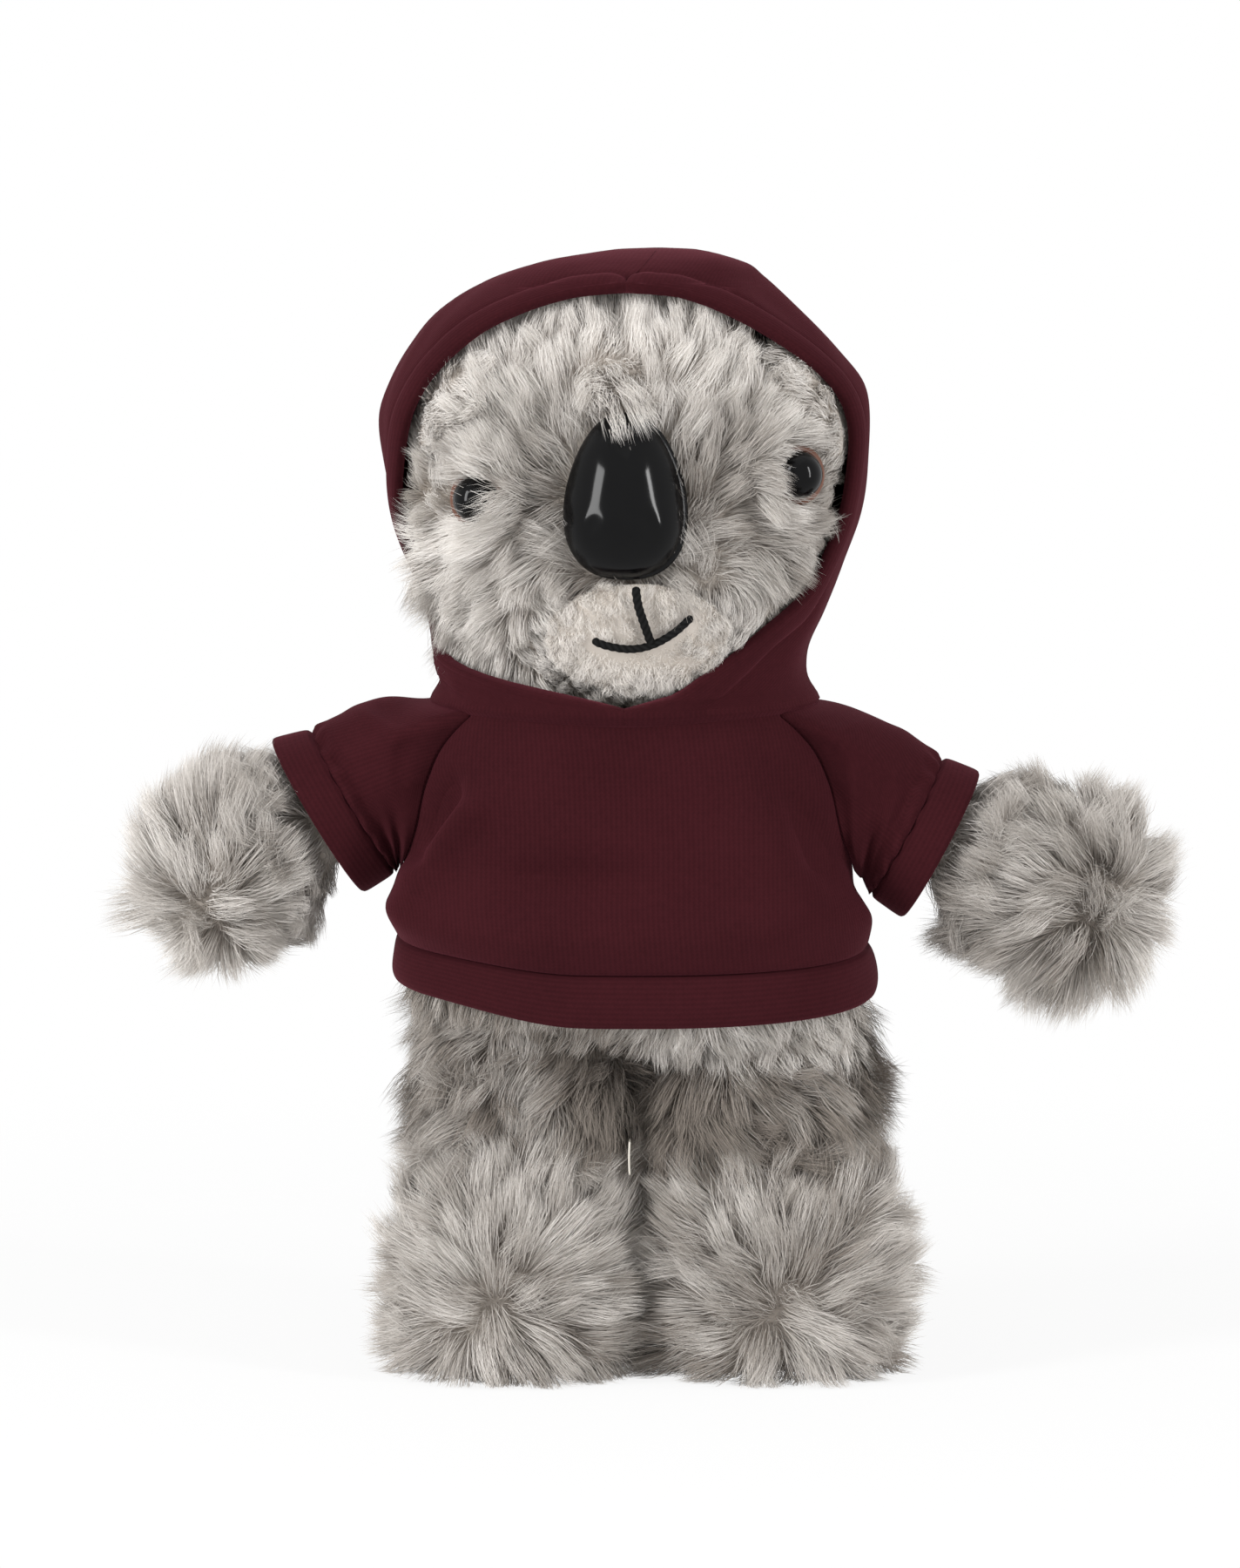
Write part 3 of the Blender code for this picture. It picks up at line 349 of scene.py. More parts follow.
class Form:
    """A soft form through level slices."""

    def __init__(self, slices):
        self.slices = slices

    def point(self, turn, z, out=0.0):
        """Surface points, moved out along the surface's normal."""
        turn, z = np.asarray(turn, float), np.asarray(z, float)
        here = superellipse(self.slices, turn, z)
        across = superellipse(self.slices, turn + 2, z) - superellipse(self.slices, turn - 2, z)
        up = superellipse(self.slices, turn, z + 0.4) - superellipse(self.slices, turn, z - 0.4)
        return here + unit(np.cross(across, up)) * np.asarray(out, float)[..., None]

    def front(self, x, z, out=0.0):
        """Surface points seen from the front at this x and height."""
        share = np.clip((x - column_of(self.slices, 1, z)) / column_of(self.slices, 3, z), -1, 1)
        power = column_of(self.slices, 6, z) / 2
        return self.point(np.degrees(np.arcsin(np.sign(share) * np.abs(share) ** power)), z, out)


head_form = Form(HEAD)
hood_form = Form(HOOD)
body_form = Form(BODY)


def wave(points, pitch, seed):
    """A soft noise between about -1 and 1 from a few sines, with this pitch in millimetres."""
    total = np.zeros(points.shape[:-1])
    angles = np.random.default_rng(seed).uniform(0, 2 * math.pi, (6, 4))
    for row, (first, second, phase, turn) in enumerate(angles):
        direction = vector(math.cos(first) * math.cos(second), math.sin(first), math.sin(second))
        scale = 2 * math.pi / (pitch * (0.7 + 0.2 * row))
        total += np.sin(points @ direction * scale + phase + np.sin(points @ direction[::-1] * scale / 2 + turn))
    return total / 3.2


def waves(points, pitch, *seeds):
    return np.stack([wave(points, pitch, seed) for seed in seeds], axis=-1)


# Meshes

def grid_faces(rows, columns, wrap, start=0, flip=False):
    """Quads of a grid, and for each corner its row and column. A wrapped grid's last column joins its first."""
    row, column = np.mgrid[0 : rows - 1, 0 : columns if wrap else columns - 1]
    places = np.stack([np.stack([row + down, column + across], axis=-1).reshape(-1, 2)
                       for down, across in ((0, 0), (0, 1), (1, 1), (1, 0))], axis=1)
    if flip:
        places = places[:, ::-1]
    return start + places[..., 0] * columns + places[..., 1] % columns, places


def read(items, key):
    """The vectors that a collection of a mesh holds."""
    values = np.empty(len(items) * 3)
    items.foreach_get(key, values)
    return values.reshape(-1, 3)


def placed(name, data):
    held = bpy.data.objects.new(name, data)
    bpy.context.scene.collection.objects.link(held)
    return held


def build(name, points, faces, materials, slots=None, uv=None):
    """A piece of points in millimetres and faces, with a material slot for each face and one texture
    coordinate for each corner."""
    mesh = bpy.data.meshes.new(name)
    mesh.from_pydata((np.asarray(points) * MM).tolist(), [], faces)
    for each in materials:
        mesh.materials.append(each)
    if slots is not None:
        mesh.polygons.foreach_set("material_index", np.asarray(slots, np.int32))
    if uv is not None:
        mesh.uv_layers.new(name="Knit").data.foreach_set("uv", np.asarray(uv, np.float32).ravel())
    mesh.shade_smooth()
    mesh.validate()
    mesh.update()
    return placed(name, mesh)


def outward(piece):
    """Makes the faces of a closed piece point outwards."""
    held = bmesh.new()
    held.from_mesh(piece.data)
    bmesh.ops.recalc_face_normals(held, faces=held.faces)
    held.to_mesh(piece.data)
    held.free()
    return piece


def shell(name, outer, inner, uv, material, wrap=False):
    """A closed sheet between two grids of points, with its edges closed too. The grids run up in rows and
    towards the right in columns when seen from outside."""
    rows, columns = outer.shape[:2]
    start = rows * columns
    faces, corner_uv = [], []

    def take(quads, coordinates, turned=False):
        faces.extend((quads[:, ::-1] if turned else quads).tolist())
        corner_uv.append((coordinates[:, ::-1] if turned else coordinates).reshape(-1, 2))

    for base, flip in ((0, False), (start, True)):
        quads, places = grid_faces(rows, columns, wrap, base, flip)
        take(quads, uv[places[..., 0], places[..., 1]])
    here = np.arange(columns if wrap else columns - 1)
    for row, turned in ((0, False), (rows - 1, True)):
        a, b = row * columns + here, row * columns + (here + 1) % columns
        low, high = uv[row, here], uv[row, here + 1]
        take(np.stack([a, start + a, start + b, b], axis=1), np.stack([low, low, high, high], axis=1), turned)
    row = np.arange(rows - 1)
    for column, turned in () if wrap else ((0, True), (columns - 1, False)):
        a, b = row * columns + column, (row + 1) * columns + column
        low, high = uv[row, column], uv[row + 1, column]
        take(np.stack([a, start + a, start + b, b], axis=1), np.stack([low, low, high, high], axis=1), turned)
    points = np.concatenate([outer.reshape(-1, 3), inner.reshape(-1, 3)])
    return outward(build(name, points, faces, [material], None, np.concatenate(corner_uv)))


def closed_loft(rings, low, high):
    """Points and faces of a solid through wrapped rings that run up, closed to a point at each end."""
    rows, columns = rings.shape[:2]
    faces = grid_faces(rows, columns, True)[0].tolist()
    last = rows * columns
    for i in range(columns):
        ahead = (i + 1) % columns
        faces.append([i, last, ahead])
        faces.append([last - columns + i, last - columns + ahead, last + 1])
    return np.concatenate([rings.reshape(-1, 3), [low], [high]]), faces


def distances(grid, axis):
    """Running lengths along one axis of a grid of points."""
    steps = np.linalg.norm(np.diff(grid, axis=axis), axis=-1)
    start = np.zeros_like(np.take(steps, [0], axis=axis))
    return np.concatenate([start, np.cumsum(steps, axis=axis)], axis=axis)


# Node trees

class Graph:
    """Adds nodes to a tree and joins their sockets."""

    def __init__(self, tree):
        self.tree = tree

    def add(self, kind, inputs=None, **settings):
        node = self.tree.nodes.new(kind)
        for key, value in settings.items():
            setattr(node, key, value)
        for key, value in (inputs or {}).items():
            if isinstance(value, bpy.types.NodeSocket):
                self.tree.links.new(value, node.inputs[key])
            elif value is not None:
                node.inputs[key].default_value = value
        return node

    def out(self, kind, inputs=None, **settings):
        return self.add(kind, inputs, **settings).outputs[0]

    def math(self, operation, first, second=None, third=None):
        return self.out("ShaderNodeMath", {0: first, 1: second, 2: third}, operation=operation)

    def times(self, first, second):
        return self.math("MULTIPLY", first, second)

    def plus(self, first, second):
        return self.math("ADD", first, second)

    def vector(self, operation, first, second=None, scale=None):
        node = self.add("ShaderNodeVectorMath", {0: first, 1: second, 3: scale}, operation=operation)
        return node.outputs[1 if operation == "LENGTH" else 0]

    def sum(self, *parts):
        total = parts[0]
        for part in parts[1:]:
            total = self.vector("ADD", total, part)
        return total

    def scaled(self, what, by):
        return self.vector("SCALE", what, None, by)

    def named(self, name, kind="FLOAT"):
        return self.out("GeometryNodeInputNamedAttribute", {0: name}, data_type=kind)

    def store(self, geometry, name, value, kind="FLOAT", domain="POINT"):
        return self.out("GeometryNodeStoreNamedAttribute", {0: geometry, 2: name, 3: value}, data_type=kind,
                        domain=domain)

    def random_vector(self, seed):
        return self.out("FunctionNodeRandomValue", {0: (-1, -1, -1), 1: (1, 1, 1), 8: seed},
                        data_type="FLOAT_VECTOR")

    def random_number(self, low, high, seed):
        return self.add("FunctionNodeRandomValue", {2: low, 3: high, 8: seed}, data_type="FLOAT").outputs[1]

    def background_rays(self):
        """1 for rays that show the background itself, from the camera or by way of gloss or glass."""
        paths = self.add("ShaderNodeLightPath").outputs
        return self.math("MAXIMUM", self.math("MAXIMUM", paths["Is Camera Ray"], paths["Is Glossy Ray"]),
                         paths["Is Transmission Ray"])


PILE_INPUTS = (
    ("Geometry", "NodeSocketGeometry", None),
    ("Strand", "NodeSocketObject", None),
    ("Material", "NodeSocketMaterial", None),
    ("Density", "NodeSocketFloat", 1.0e6),
    ("Length", "NodeSocketFloat", 0.01),
    ("Width", "NodeSocketFloat", 0.0002),
    ("Scatter", "NodeSocketFloat", 0.2),
    ("Droop", "NodeSocketFloat", 0.2),
    ("Curl", "NodeSocketFloat", 0.5),
    ("Lock Spacing", "NodeSocketFloat", 0.004),
    ("Lock Strength", "NodeSocketFloat", 0.5),
    ("Floor", "NodeSocketFloat", 0.0002),
    ("Seed", "NodeSocketInt", 1),
)
# What the backing's points say: how thickly pile grows, its comb, its length, how far it stands and how pale it is
PILE_FIELDS = ("growth", "comb", "reach", "stand", "shade")


def pile_tree():
    """The tree that grows plush pile on a backing from the values that its points hold."""
    tree = bpy.data.node_groups.get("Plush pile")
    if tree:
        return tree
    tree = bpy.data.node_groups.new("Plush pile", "GeometryNodeTree")
    for name, kind, default in PILE_INPUTS:
        socket = tree.interface.new_socket(name, in_out="INPUT", socket_type=kind)
        if default is not None:
            socket.default_value = default
    tree.interface.new_socket("Geometry", in_out="OUTPUT", socket_type="NodeSocketGeometry")
    g = Graph(tree)
    given = g.add("NodeGroupInput").outputs
    backing = given["Geometry"]
    place = g.out("GeometryNodeInputPosition")
    comb, stand = g.named("comb", "FLOAT_VECTOR"), g.named("stand")

    def strand_ends(normal, seed, length, scatter):
        """The first and second half of a strand as vectors: it leaves the backing and then lies down."""
        loose = g.scaled(g.random_vector(seed), scatter)
        lying = g.scaled(comb, g.math("SUBTRACT", 1.0, stand))
        start = g.vector("NORMALIZE", g.sum(g.scaled(normal, stand), lying, loose))
        fall = g.out("ShaderNodeCombineXYZ", {2: g.times(given["Droop"], -1.0)})
        end = g.vector("NORMALIZE", g.sum(comb, g.scaled(normal, g.times(stand, 0.5)), fall, loose))
        half = g.times(length, 0.5)
        return g.scaled(start, half), g.scaled(end, half)

    def from_lock(locks, name, kind, near):
        return g.out("GeometryNodeSampleIndex", {0: locks, 1: g.named(name, kind), 2: near}, data_type=kind)

    reach = g.times(given["Length"], g.named("reach"))
    # Locks: a few guides, each with the point that the strands near it lean to
    guides = g.add("GeometryNodeDistributePointsOnFaces",
                   {0: backing, 2: given["Lock Spacing"], 3: 3.0e5, 5: 1.0, 6: g.plus(given["Seed"], 7.0)},
                   distribute_method="POISSON").outputs
    first, second = strand_ends(guides[1], 11, reach, g.times(given["Scatter"], 2.6))
    locks = g.store(guides[0], "tip", g.sum(place, first, second), "FLOAT_VECTOR")
    locks = g.store(locks, "tone", g.random_number(-1.0, 1.0, 13))

    spread = g.add("GeometryNodeDistributePointsOnFaces",
                   {0: backing, 4: g.times(given["Density"], g.named("growth")), 6: given["Seed"]}).outputs
    points, normal = spread[0], spread[1]
    first, second = strand_ends(normal, 4, g.times(reach, g.random_number(0.6, 1.1, 3)), given["Scatter"])
    near = g.out("GeometryNodeSampleNearest", {0: locks, 1: place}, domain="POINT")
    lean = g.vector("SUBTRACT", from_lock(locks, "tip", "FLOAT_VECTOR", near), g.sum(place, first, second))
    strength = g.times(given["Lock Strength"], g.random_number(0.55, 1.15, 5))
    face = g.sum(normal, g.scaled(g.random_vector(6), 0.7))
    ribbon = g.vector("NORMALIZE", g.vector("CROSS_PRODUCT", g.sum(first, second), face))
    shade = g.math("MULTIPLY_ADD", from_lock(locks, "tone", "FLOAT", near), 0.14, g.named("shade"))
    shade = g.plus(shade, g.random_number(-0.2, 0.2, 8))
    shade = g.out("ShaderNodeClamp", {0: shade, 1: 0.02, 2: 0.98})
    held = {"root": place, "first": first, "second": second, "lean": g.scaled(lean, strength), "ribbon": ribbon}
    for name, value in held.items():
        points = g.store(points, name, value, "FLOAT_VECTOR")
    points = g.store(points, "shade", shade)
    points = g.store(points, "phase", g.random_number(0.0, 6.3, 9))
    strand = g.add("GeometryNodeObjectInfo", {0: given["Strand"]}).outputs[4]
    pile = g.out("GeometryNodeInstanceOnPoints", {0: points, 2: strand})
    pile = g.out("GeometryNodeRealizeInstances", {0: pile})

    along = g.named("along")
    half_square = g.times(g.times(along, along), 0.5)
    root, first, second, lean, ribbon = (g.named(name, "FLOAT_VECTOR") for name in held)
    swing = g.math("SINE", g.math("MULTIPLY_ADD", along, 7.0, g.named("phase")))
    swing = g.times(g.times(swing, along), g.times(given["Curl"], 0.001))
    where = g.sum(
        root,
        g.scaled(first, g.times(g.math("SUBTRACT", along, half_square), 2.0)),
        g.scaled(second, g.times(half_square, 2.0)),
        g.scaled(lean, g.math("POWER", along, 1.5)),
        g.scaled(ribbon, g.math("MULTIPLY_ADD", g.named("side"), given["Width"], swing)),
    )
    parts = g.add("ShaderNodeSeparateXYZ", {0: where}).outputs
    height = g.math("MAXIMUM", parts[2], given["Floor"])
    where = g.out("ShaderNodeCombineXYZ", {0: parts[0], 1: parts[1], 2: height})
    pile = g.out("GeometryNodeSetPosition", {0: pile, 2: where})
    joined = g.add("GeometryNodeJoinGeometry")
    g.tree.links.new(pile, joined.inputs[0])
    g.tree.links.new(backing, joined.inputs[0])
    # The backing reads as the strands' root, so it also takes the painted root shade.
    shown = g.out("ShaderNodeCombineXYZ", {0: g.named("shade"), 1: along})
    whole = g.store(joined.outputs[0], "OFBake", shown, "FLOAT2", "CORNER")
    whole = g.out("GeometryNodeSetShadeSmooth", {0: whole})
    whole = g.out("GeometryNodeRealizeInstances", {0: whole})
    whole = g.out("GeometryNodeSetMaterial", {0: whole, 2: given["Material"]})
    g.add("NodeGroupOutput", {0: whole})
    return tree


def strand_object(segments):
    """The flat blade that every strand is made from, from its root to its pointed tip."""
    name = f"strand_{segments}"
    made = bpy.data.objects.get(name)
    if made:
        return made
    along = np.arange(segments) / segments
    halves = 0.5 * (1 - 0.75 * along**1.5)
    points = [(s * h, 0, a) for a, h in zip(along, halves) for s in (-1, 1)] + [(0, 0, 1)]
    faces = [(2 * i, 2 * i + 1, 2 * i + 3, 2 * i + 2) for i in range(segments - 1)]
    faces.append((2 * segments - 2, 2 * segments - 1, 2 * segments))
    mesh = bpy.data.meshes.new(name)
    mesh.from_pydata(points, [], faces)
    for key, column in (("side", 0), ("along", 2)):
        values = mesh.attributes.new(key, "FLOAT", "POINT")
        values.data.foreach_set("value", [p[column] for p in points])
    return bpy.data.objects.new(name, mesh)


def grow(name, solid, material, dress, density, length, width, scatter=0.2, droop=0.15, curl=0.3,
         spacing=4.0, strength=0.55, segments=3, seed=1):
    """Pile on a backing. Density is strands a square millimetre, and lengths are in millimetres. dress gets
    the backing's points and normals and gives the fields of the pile for each point."""
    piece = outward(build(name, *solid, []))
    mesh = piece.data
    place, normal = read(mesh.vertices, "co") / MM, read(mesh.vertex_normals, "vector")
    for key, value in zip(PILE_FIELDS, dress(place, normal)):
        if key == "comb":
            layer = mesh.attributes.new(key, "FLOAT_VECTOR", "POINT")
            layer.data.foreach_set("vector", laid(value, normal).astype(np.float32).ravel())
        else:
            layer = mesh.attributes.new(key, "FLOAT", "POINT")
            layer.data.foreach_set("value", np.broadcast_to(value, len(place)).astype(np.float32))
    tree = pile_tree()
    modifier = piece.modifiers.new("pile", "NODES")
    modifier.node_group = tree
    given = {
        "Strand": strand_object(segments), "Material": material, "Density": density / MM**2,
        "Length": length * MM, "Width": width * MM, "Scatter": scatter, "Droop": droop, "Curl": curl,
        "Lock Spacing": spacing * MM, "Lock Strength": strength, "Seed": seed,
    }
    for socket in tree.interface.items_tree:
        if socket.in_out == "INPUT" and socket.name in given:
            modifier[socket.identifier] = given[socket.name]
    return settled(piece)


def settled(piece):
    """The piece with its modifiers made part of a plain mesh, without the helper attributes."""
    graph = bpy.context.evaluated_depsgraph_get()
    mesh = bpy.data.meshes.new_from_object(piece.evaluated_get(graph), preserve_all_data_layers=True,
                                           depsgraph=graph)
    piece.modifiers.clear()
    old = piece.data
    piece.data = mesh
    bpy.data.meshes.remove(old)
    mesh.name = piece.name
    kept = {"position", "OFBake", "Knit", "material_index", "sharp_face", "custom_normal"}
    for name in [a.name for a in mesh.attributes]:
        if name not in kept and not name.startswith("."):
            mesh.attributes.remove(mesh.attributes[name])
    return piece


# Materials

class Finish(Graph):
    """A material with a Principled shader, and the graph that feeds it."""

    def __init__(self, name, roughness, specular=0.5, sheen=0.0):
        self.material = bpy.data.materials.new(name)
        self.material.use_nodes = True
        super().__init__(self.material.node_tree)
        self.inputs = self.tree.nodes["Principled BSDF"].inputs
        for key, value in (("Roughness", roughness), ("Specular IOR Level", specular), ("Sheen Weight", sheen)):
            self.inputs[key].default_value = value

    def place(self):
        return self.add("ShaderNodeTexCoord").outputs["Object"]

    def parts(self, where):
        return self.add("ShaderNodeSeparateXYZ", {0: where}).outputs

    def uv(self, name):
        return self.parts(self.out("ShaderNodeUVMap", uv_map=name))

    def noise(self, place, scale, detail, distortion=None):
        return self.out("ShaderNodeTexNoise", {0: place, 2: scale, 3: detail, 8: distortion})

    def whole_sine(self, value):
        """A sine that runs from 0 to 1."""
        return self.math("MULTIPLY_ADD", self.math("SINE", value), 0.5, 0.5)

    def ramp(self, value, stops):
        node = self.add("ShaderNodeValToRGB", {0: value})
        elements = node.color_ramp.elements
        while len(elements) < len(stops):
            elements.new(0.5)
        for element, (place, colour) in zip(elements, stops):
            element.position = place
            element.color = (*colour, 1.0)
        return node.outputs[0]

    def done(self, colour, strength=None, depth=None, height=None):
        """Feeds the colour and the relief, if there is one, and gives the material."""
        self.tree.links.new(colour, self.inputs["Base Color"])
        if strength:
            relief = self.out("ShaderNodeBump", {0: strength, 1: depth, 3: height})
            self.tree.links.new(relief, self.inputs["Normal"])
        return self.material


def shades(colour, *factors):
    return [tuple(c * k for c in colour) for k in factors]


def plush_material(name, dark, light):
    """Pile whose colour runs from a root darkened as painted shade to a paler tip. Each strand has its own place
    between two tones.
    """
    g = Finish(name, 0.75, 0.25, sheen=0.15)
    parts = g.uv("OFBake")
    low, high = (g.ramp(parts[1], stops) for stops in (dark, light))
    mix = g.add("ShaderNodeMix", {0: parts[0], 6: low, 7: high}, data_type="RGBA", blend_type="MIX")
    return g.done(mix.outputs[2])


def tones(colour, root=0.62, tip=1.15):
    """Stops from root to tip for one tone of plush. The darker, warmer root is painted shade among the strands, and
    the tip is paler.
    """
    warm = (1.0, 0.95, 0.9)
    return (
        (0.0, tuple(c * root * w for c, w in zip(colour, warm))),
        (0.45, tuple(colour)),
        (1.0, tuple(min(c * tip, 1.0) for c in colour)),
    )


def knit_material(name, colour, turned=False):
    """Knit in fine wales: the V of each stitch, the groove between wales, fuzz and an uneven dye, with painted
    shade where the relief is low.
    """
    g = Finish(name, 0.9, 0.04, sheen=0.2)
    g.inputs["Sheen Roughness"].default_value = 0.5
    g.inputs["Sheen Tint"].default_value = (0.5, 0.12, 0.17, 1.0)
    parts = g.uv("Knit")
    across, along = (parts[1], parts[0]) if turned else (parts[0], parts[1])
    wale = g.times(across, 2 * math.pi / (sizes().wale * 1000))
    course = g.times(along, 2 * math.pi / (sizes().course * 1000))
    ridge = g.math("MULTIPLY_ADD", g.math("COSINE", wale), 0.5, 0.5)
    stitch = g.whole_sine(g.plus(course, g.times(g.math("SINE", wale), 1.4)))
    place = g.place()
    height = g.plus(g.times(ridge, 0.4), g.times(stitch, 0.2))
    height = g.plus(height, g.times(g.noise(place, 900.0, 3.0), 0.8))
    # Painted shade: the tone follows the relief and is darker in the grooves and low places. The coarser noise is
    # the uneven dye.
    tone = g.plus(g.times(height, 0.55), g.times(g.noise(place, 45.0, 3.0), 0.6))
    low, high = shades(colour, 0.74, 1.26)
    return g.done(g.ramp(tone, ((0.3, low), (0.95, high))), 0.45, sizes().wale * 0.12, height)


def plastic_material(name, colour, roughness):
    """Moulded plastic with the faint unevenness of a mould."""
    g = Finish(name, roughness, 0.15)
    grain = g.noise(g.place(), 260.0, 2.0)
    g.tree.links.new(g.math("MULTIPLY_ADD", grain, roughness * 0.4, roughness * 0.8), g.inputs["Roughness"])
    low, high = shades(colour, 0.85, 1.15)
    return g.done(g.ramp(grain, ((0.3, low), (0.7, high))))


def thread_material(name, colour):
    """Twisted thread: its plies run round it, from the turns stored along it."""
    g = Finish(name, 0.8, 0.1)
    parts = g.uv("Knit")
    tone = g.whole_sine(g.plus(g.times(parts[0], 3.0), g.times(parts[1], 5.0)))
    # Painted shade and highlight: the colour follows the relief of the plies, darker in the grooves between them
    # and lighter on their crowns.
    low, high = shades(colour, 0.5, 1.8)
    return g.done(g.ramp(tone, ((0.0, low), (1.0, high))), 0.6, 0.0001, tone)


def fibre_material(name):
    """White filling: tangled fibres as fine noise."""
    g = Finish(name, 0.95, sheen=0.3)
    tangle = g.noise(g.place(), 420.0, 5.0, 1.6)
    # Painted shade: the fibres are darker where the tangle's relief is low.
    return g.done(g.ramp(tangle, ((0.3, (0.62, 0.62, 0.60)), (0.7, (0.86, 0.86, 0.84)))), 0.8, 0.0006, tangle)


def tape_material(name):
    """Woven tape of the label."""
    g = Finish(name, 0.6)
    parts = g.parts(g.place())
    weft, warp = (g.math("SINE", g.times(parts[i], 2 * math.pi / 0.0004)) for i in (2, 1))
    weave = g.math("MULTIPLY_ADD", g.times(weft, warp), 0.5, 0.5)
    # Painted shade: the tape is darker where the weave dips.
    return g.done(g.ramp(weave, ((0.0, (0.62, 0.58, 0.5)), (1.0, (0.82, 0.78, 0.7)))), 0.5, 0.0001, weave)


# Plush

def nearest_front(points, normals, x, z):
    """The point of a backing that is seen at this x and height from the front."""
    away = np.hypot(points[:, 0] - x, points[:, 2] - z) + np.where(normals[:, 1] < 0, 0.0, 1e3)
    return points[np.argmin(away)]


def hood_edge(points):
    """The turn of each point round the head's axis, and the turn of the hood's edge on its side, or 0 where
    the hood is closed."""
    turn, z = np.degrees(np.arctan2(points[..., 0] - HEAD_AXIS, -points[..., 1])), points[..., 2]
    left, right = column_of(HOOD_OPENING, 1, z), column_of(HOOD_OPENING, 2, z)
    inside = (z > HOOD_OPENING[0][0]) & (z < HOOD_OPENING[-1][0])
    return turn, np.where(inside, np.where(turn < 0, left, right), 0.0)


# Tufts of the face: where they grow, how wide that patch is, the way they lie and how long they are
FACE_TUFTS = (
    (-7.0, 175.0, 6.0, (0.2, -0.2, -1.0), 1.35),
    (8.0, 145.5, 4.0, (-0.9, -0.3, 0.8), 0.85),
    (-18.5, 141.0, 5.0, (0.7, -0.2, -0.7), 0.8),
    (16.5, 138.0, 4.5, (-0.6, -0.2, -0.8), 0.6),
    (-38.0, 137.0, 7.0, (-0.8, -0.3, -0.6), 1.35),
    (-33.0, 129.0, 6.0, (-0.6, -0.3, -0.9), 1.2),
    (-37.5, 157.0, 5.0, (-0.35, -1.0, 0.2), 0.8),
    (35.0, 156.5, 3.6, (0.35, -1.0, 0.1), 0.7),
)
# In how many rounds the pile under the hood is laid down
LAYING_ROUNDS = 8


def under_hood(points):
    """Whether points behind the edge of the hood have reached its lining."""
    x, y, z = points.T
    turn, edge = hood_edge(points)
    wall = hood_form.point(turn, np.clip(z, 120, 199), -CLOTH - 0.9)
    far = np.hypot(x - HEAD_AXIS, y) > np.hypot(wall[:, 0] - HEAD_AXIS, wall[:, 1])
    return (far | (z > 196.5)) & (np.abs(turn) > edge - 3) & (z > 121)


def kept_inside(points, normals, length, comb, reach, stand):
    """Lays down and shortens the pile that would go through the hood."""
    flat = laid(comb, normals)
    for _ in range(LAYING_ROUNDS):
        start = unit(normals * stand[:, None] + flat * (1 - stand)[:, None])
        end = unit(flat + normals * (0.5 * stand)[:, None])
        middle, tip = (points + (start * (0.5 * part) + end * (0.5 * part**2)) * (length * reach)[:, None] * 1.1
                       for part in (0.6, 1.0))
        caught = under_hood(middle) | under_hood(tip)
        reach = np.where(caught, reach * 0.84, reach)
        stand = np.where(caught, stand * 0.9, stand)
    return reach, stand


def eye_mounds(points):
    """How far the skin bulges beside each eye, on the side of the nose, so that its pile lies over the eye."""
    x, y, z = np.moveaxis(points, -1, 0)
    height = 0 * x
    for eye in EYES.values():
        away = np.hypot(x - eye["at"][0], z - eye["at"][1])
        inward = (eye["at"][0] - x) * eye["side"] / np.maximum(away, 0.1)
        ring = ramp(EYE_RADIUS + 6, EYE_RADIUS + 2, away) * ramp(EYE_RADIUS - 1.2, EYE_RADIUS + 0.6, away)
        height = np.maximum(height, eye["mound"] * ring * ramp(-0.35, 0.45, inward) * (y < 0))
    return height


def rim_lift(points):
    """How far the skin rises along the edge of the hood, so that the pile fills the opening."""
    turn, edge = hood_edge(points)
    past = np.abs(turn) - edge
    return 1.9 * ramp(-20, -9, past) * ramp(9, 4, past) * ramp(122, 130, points[..., 2])


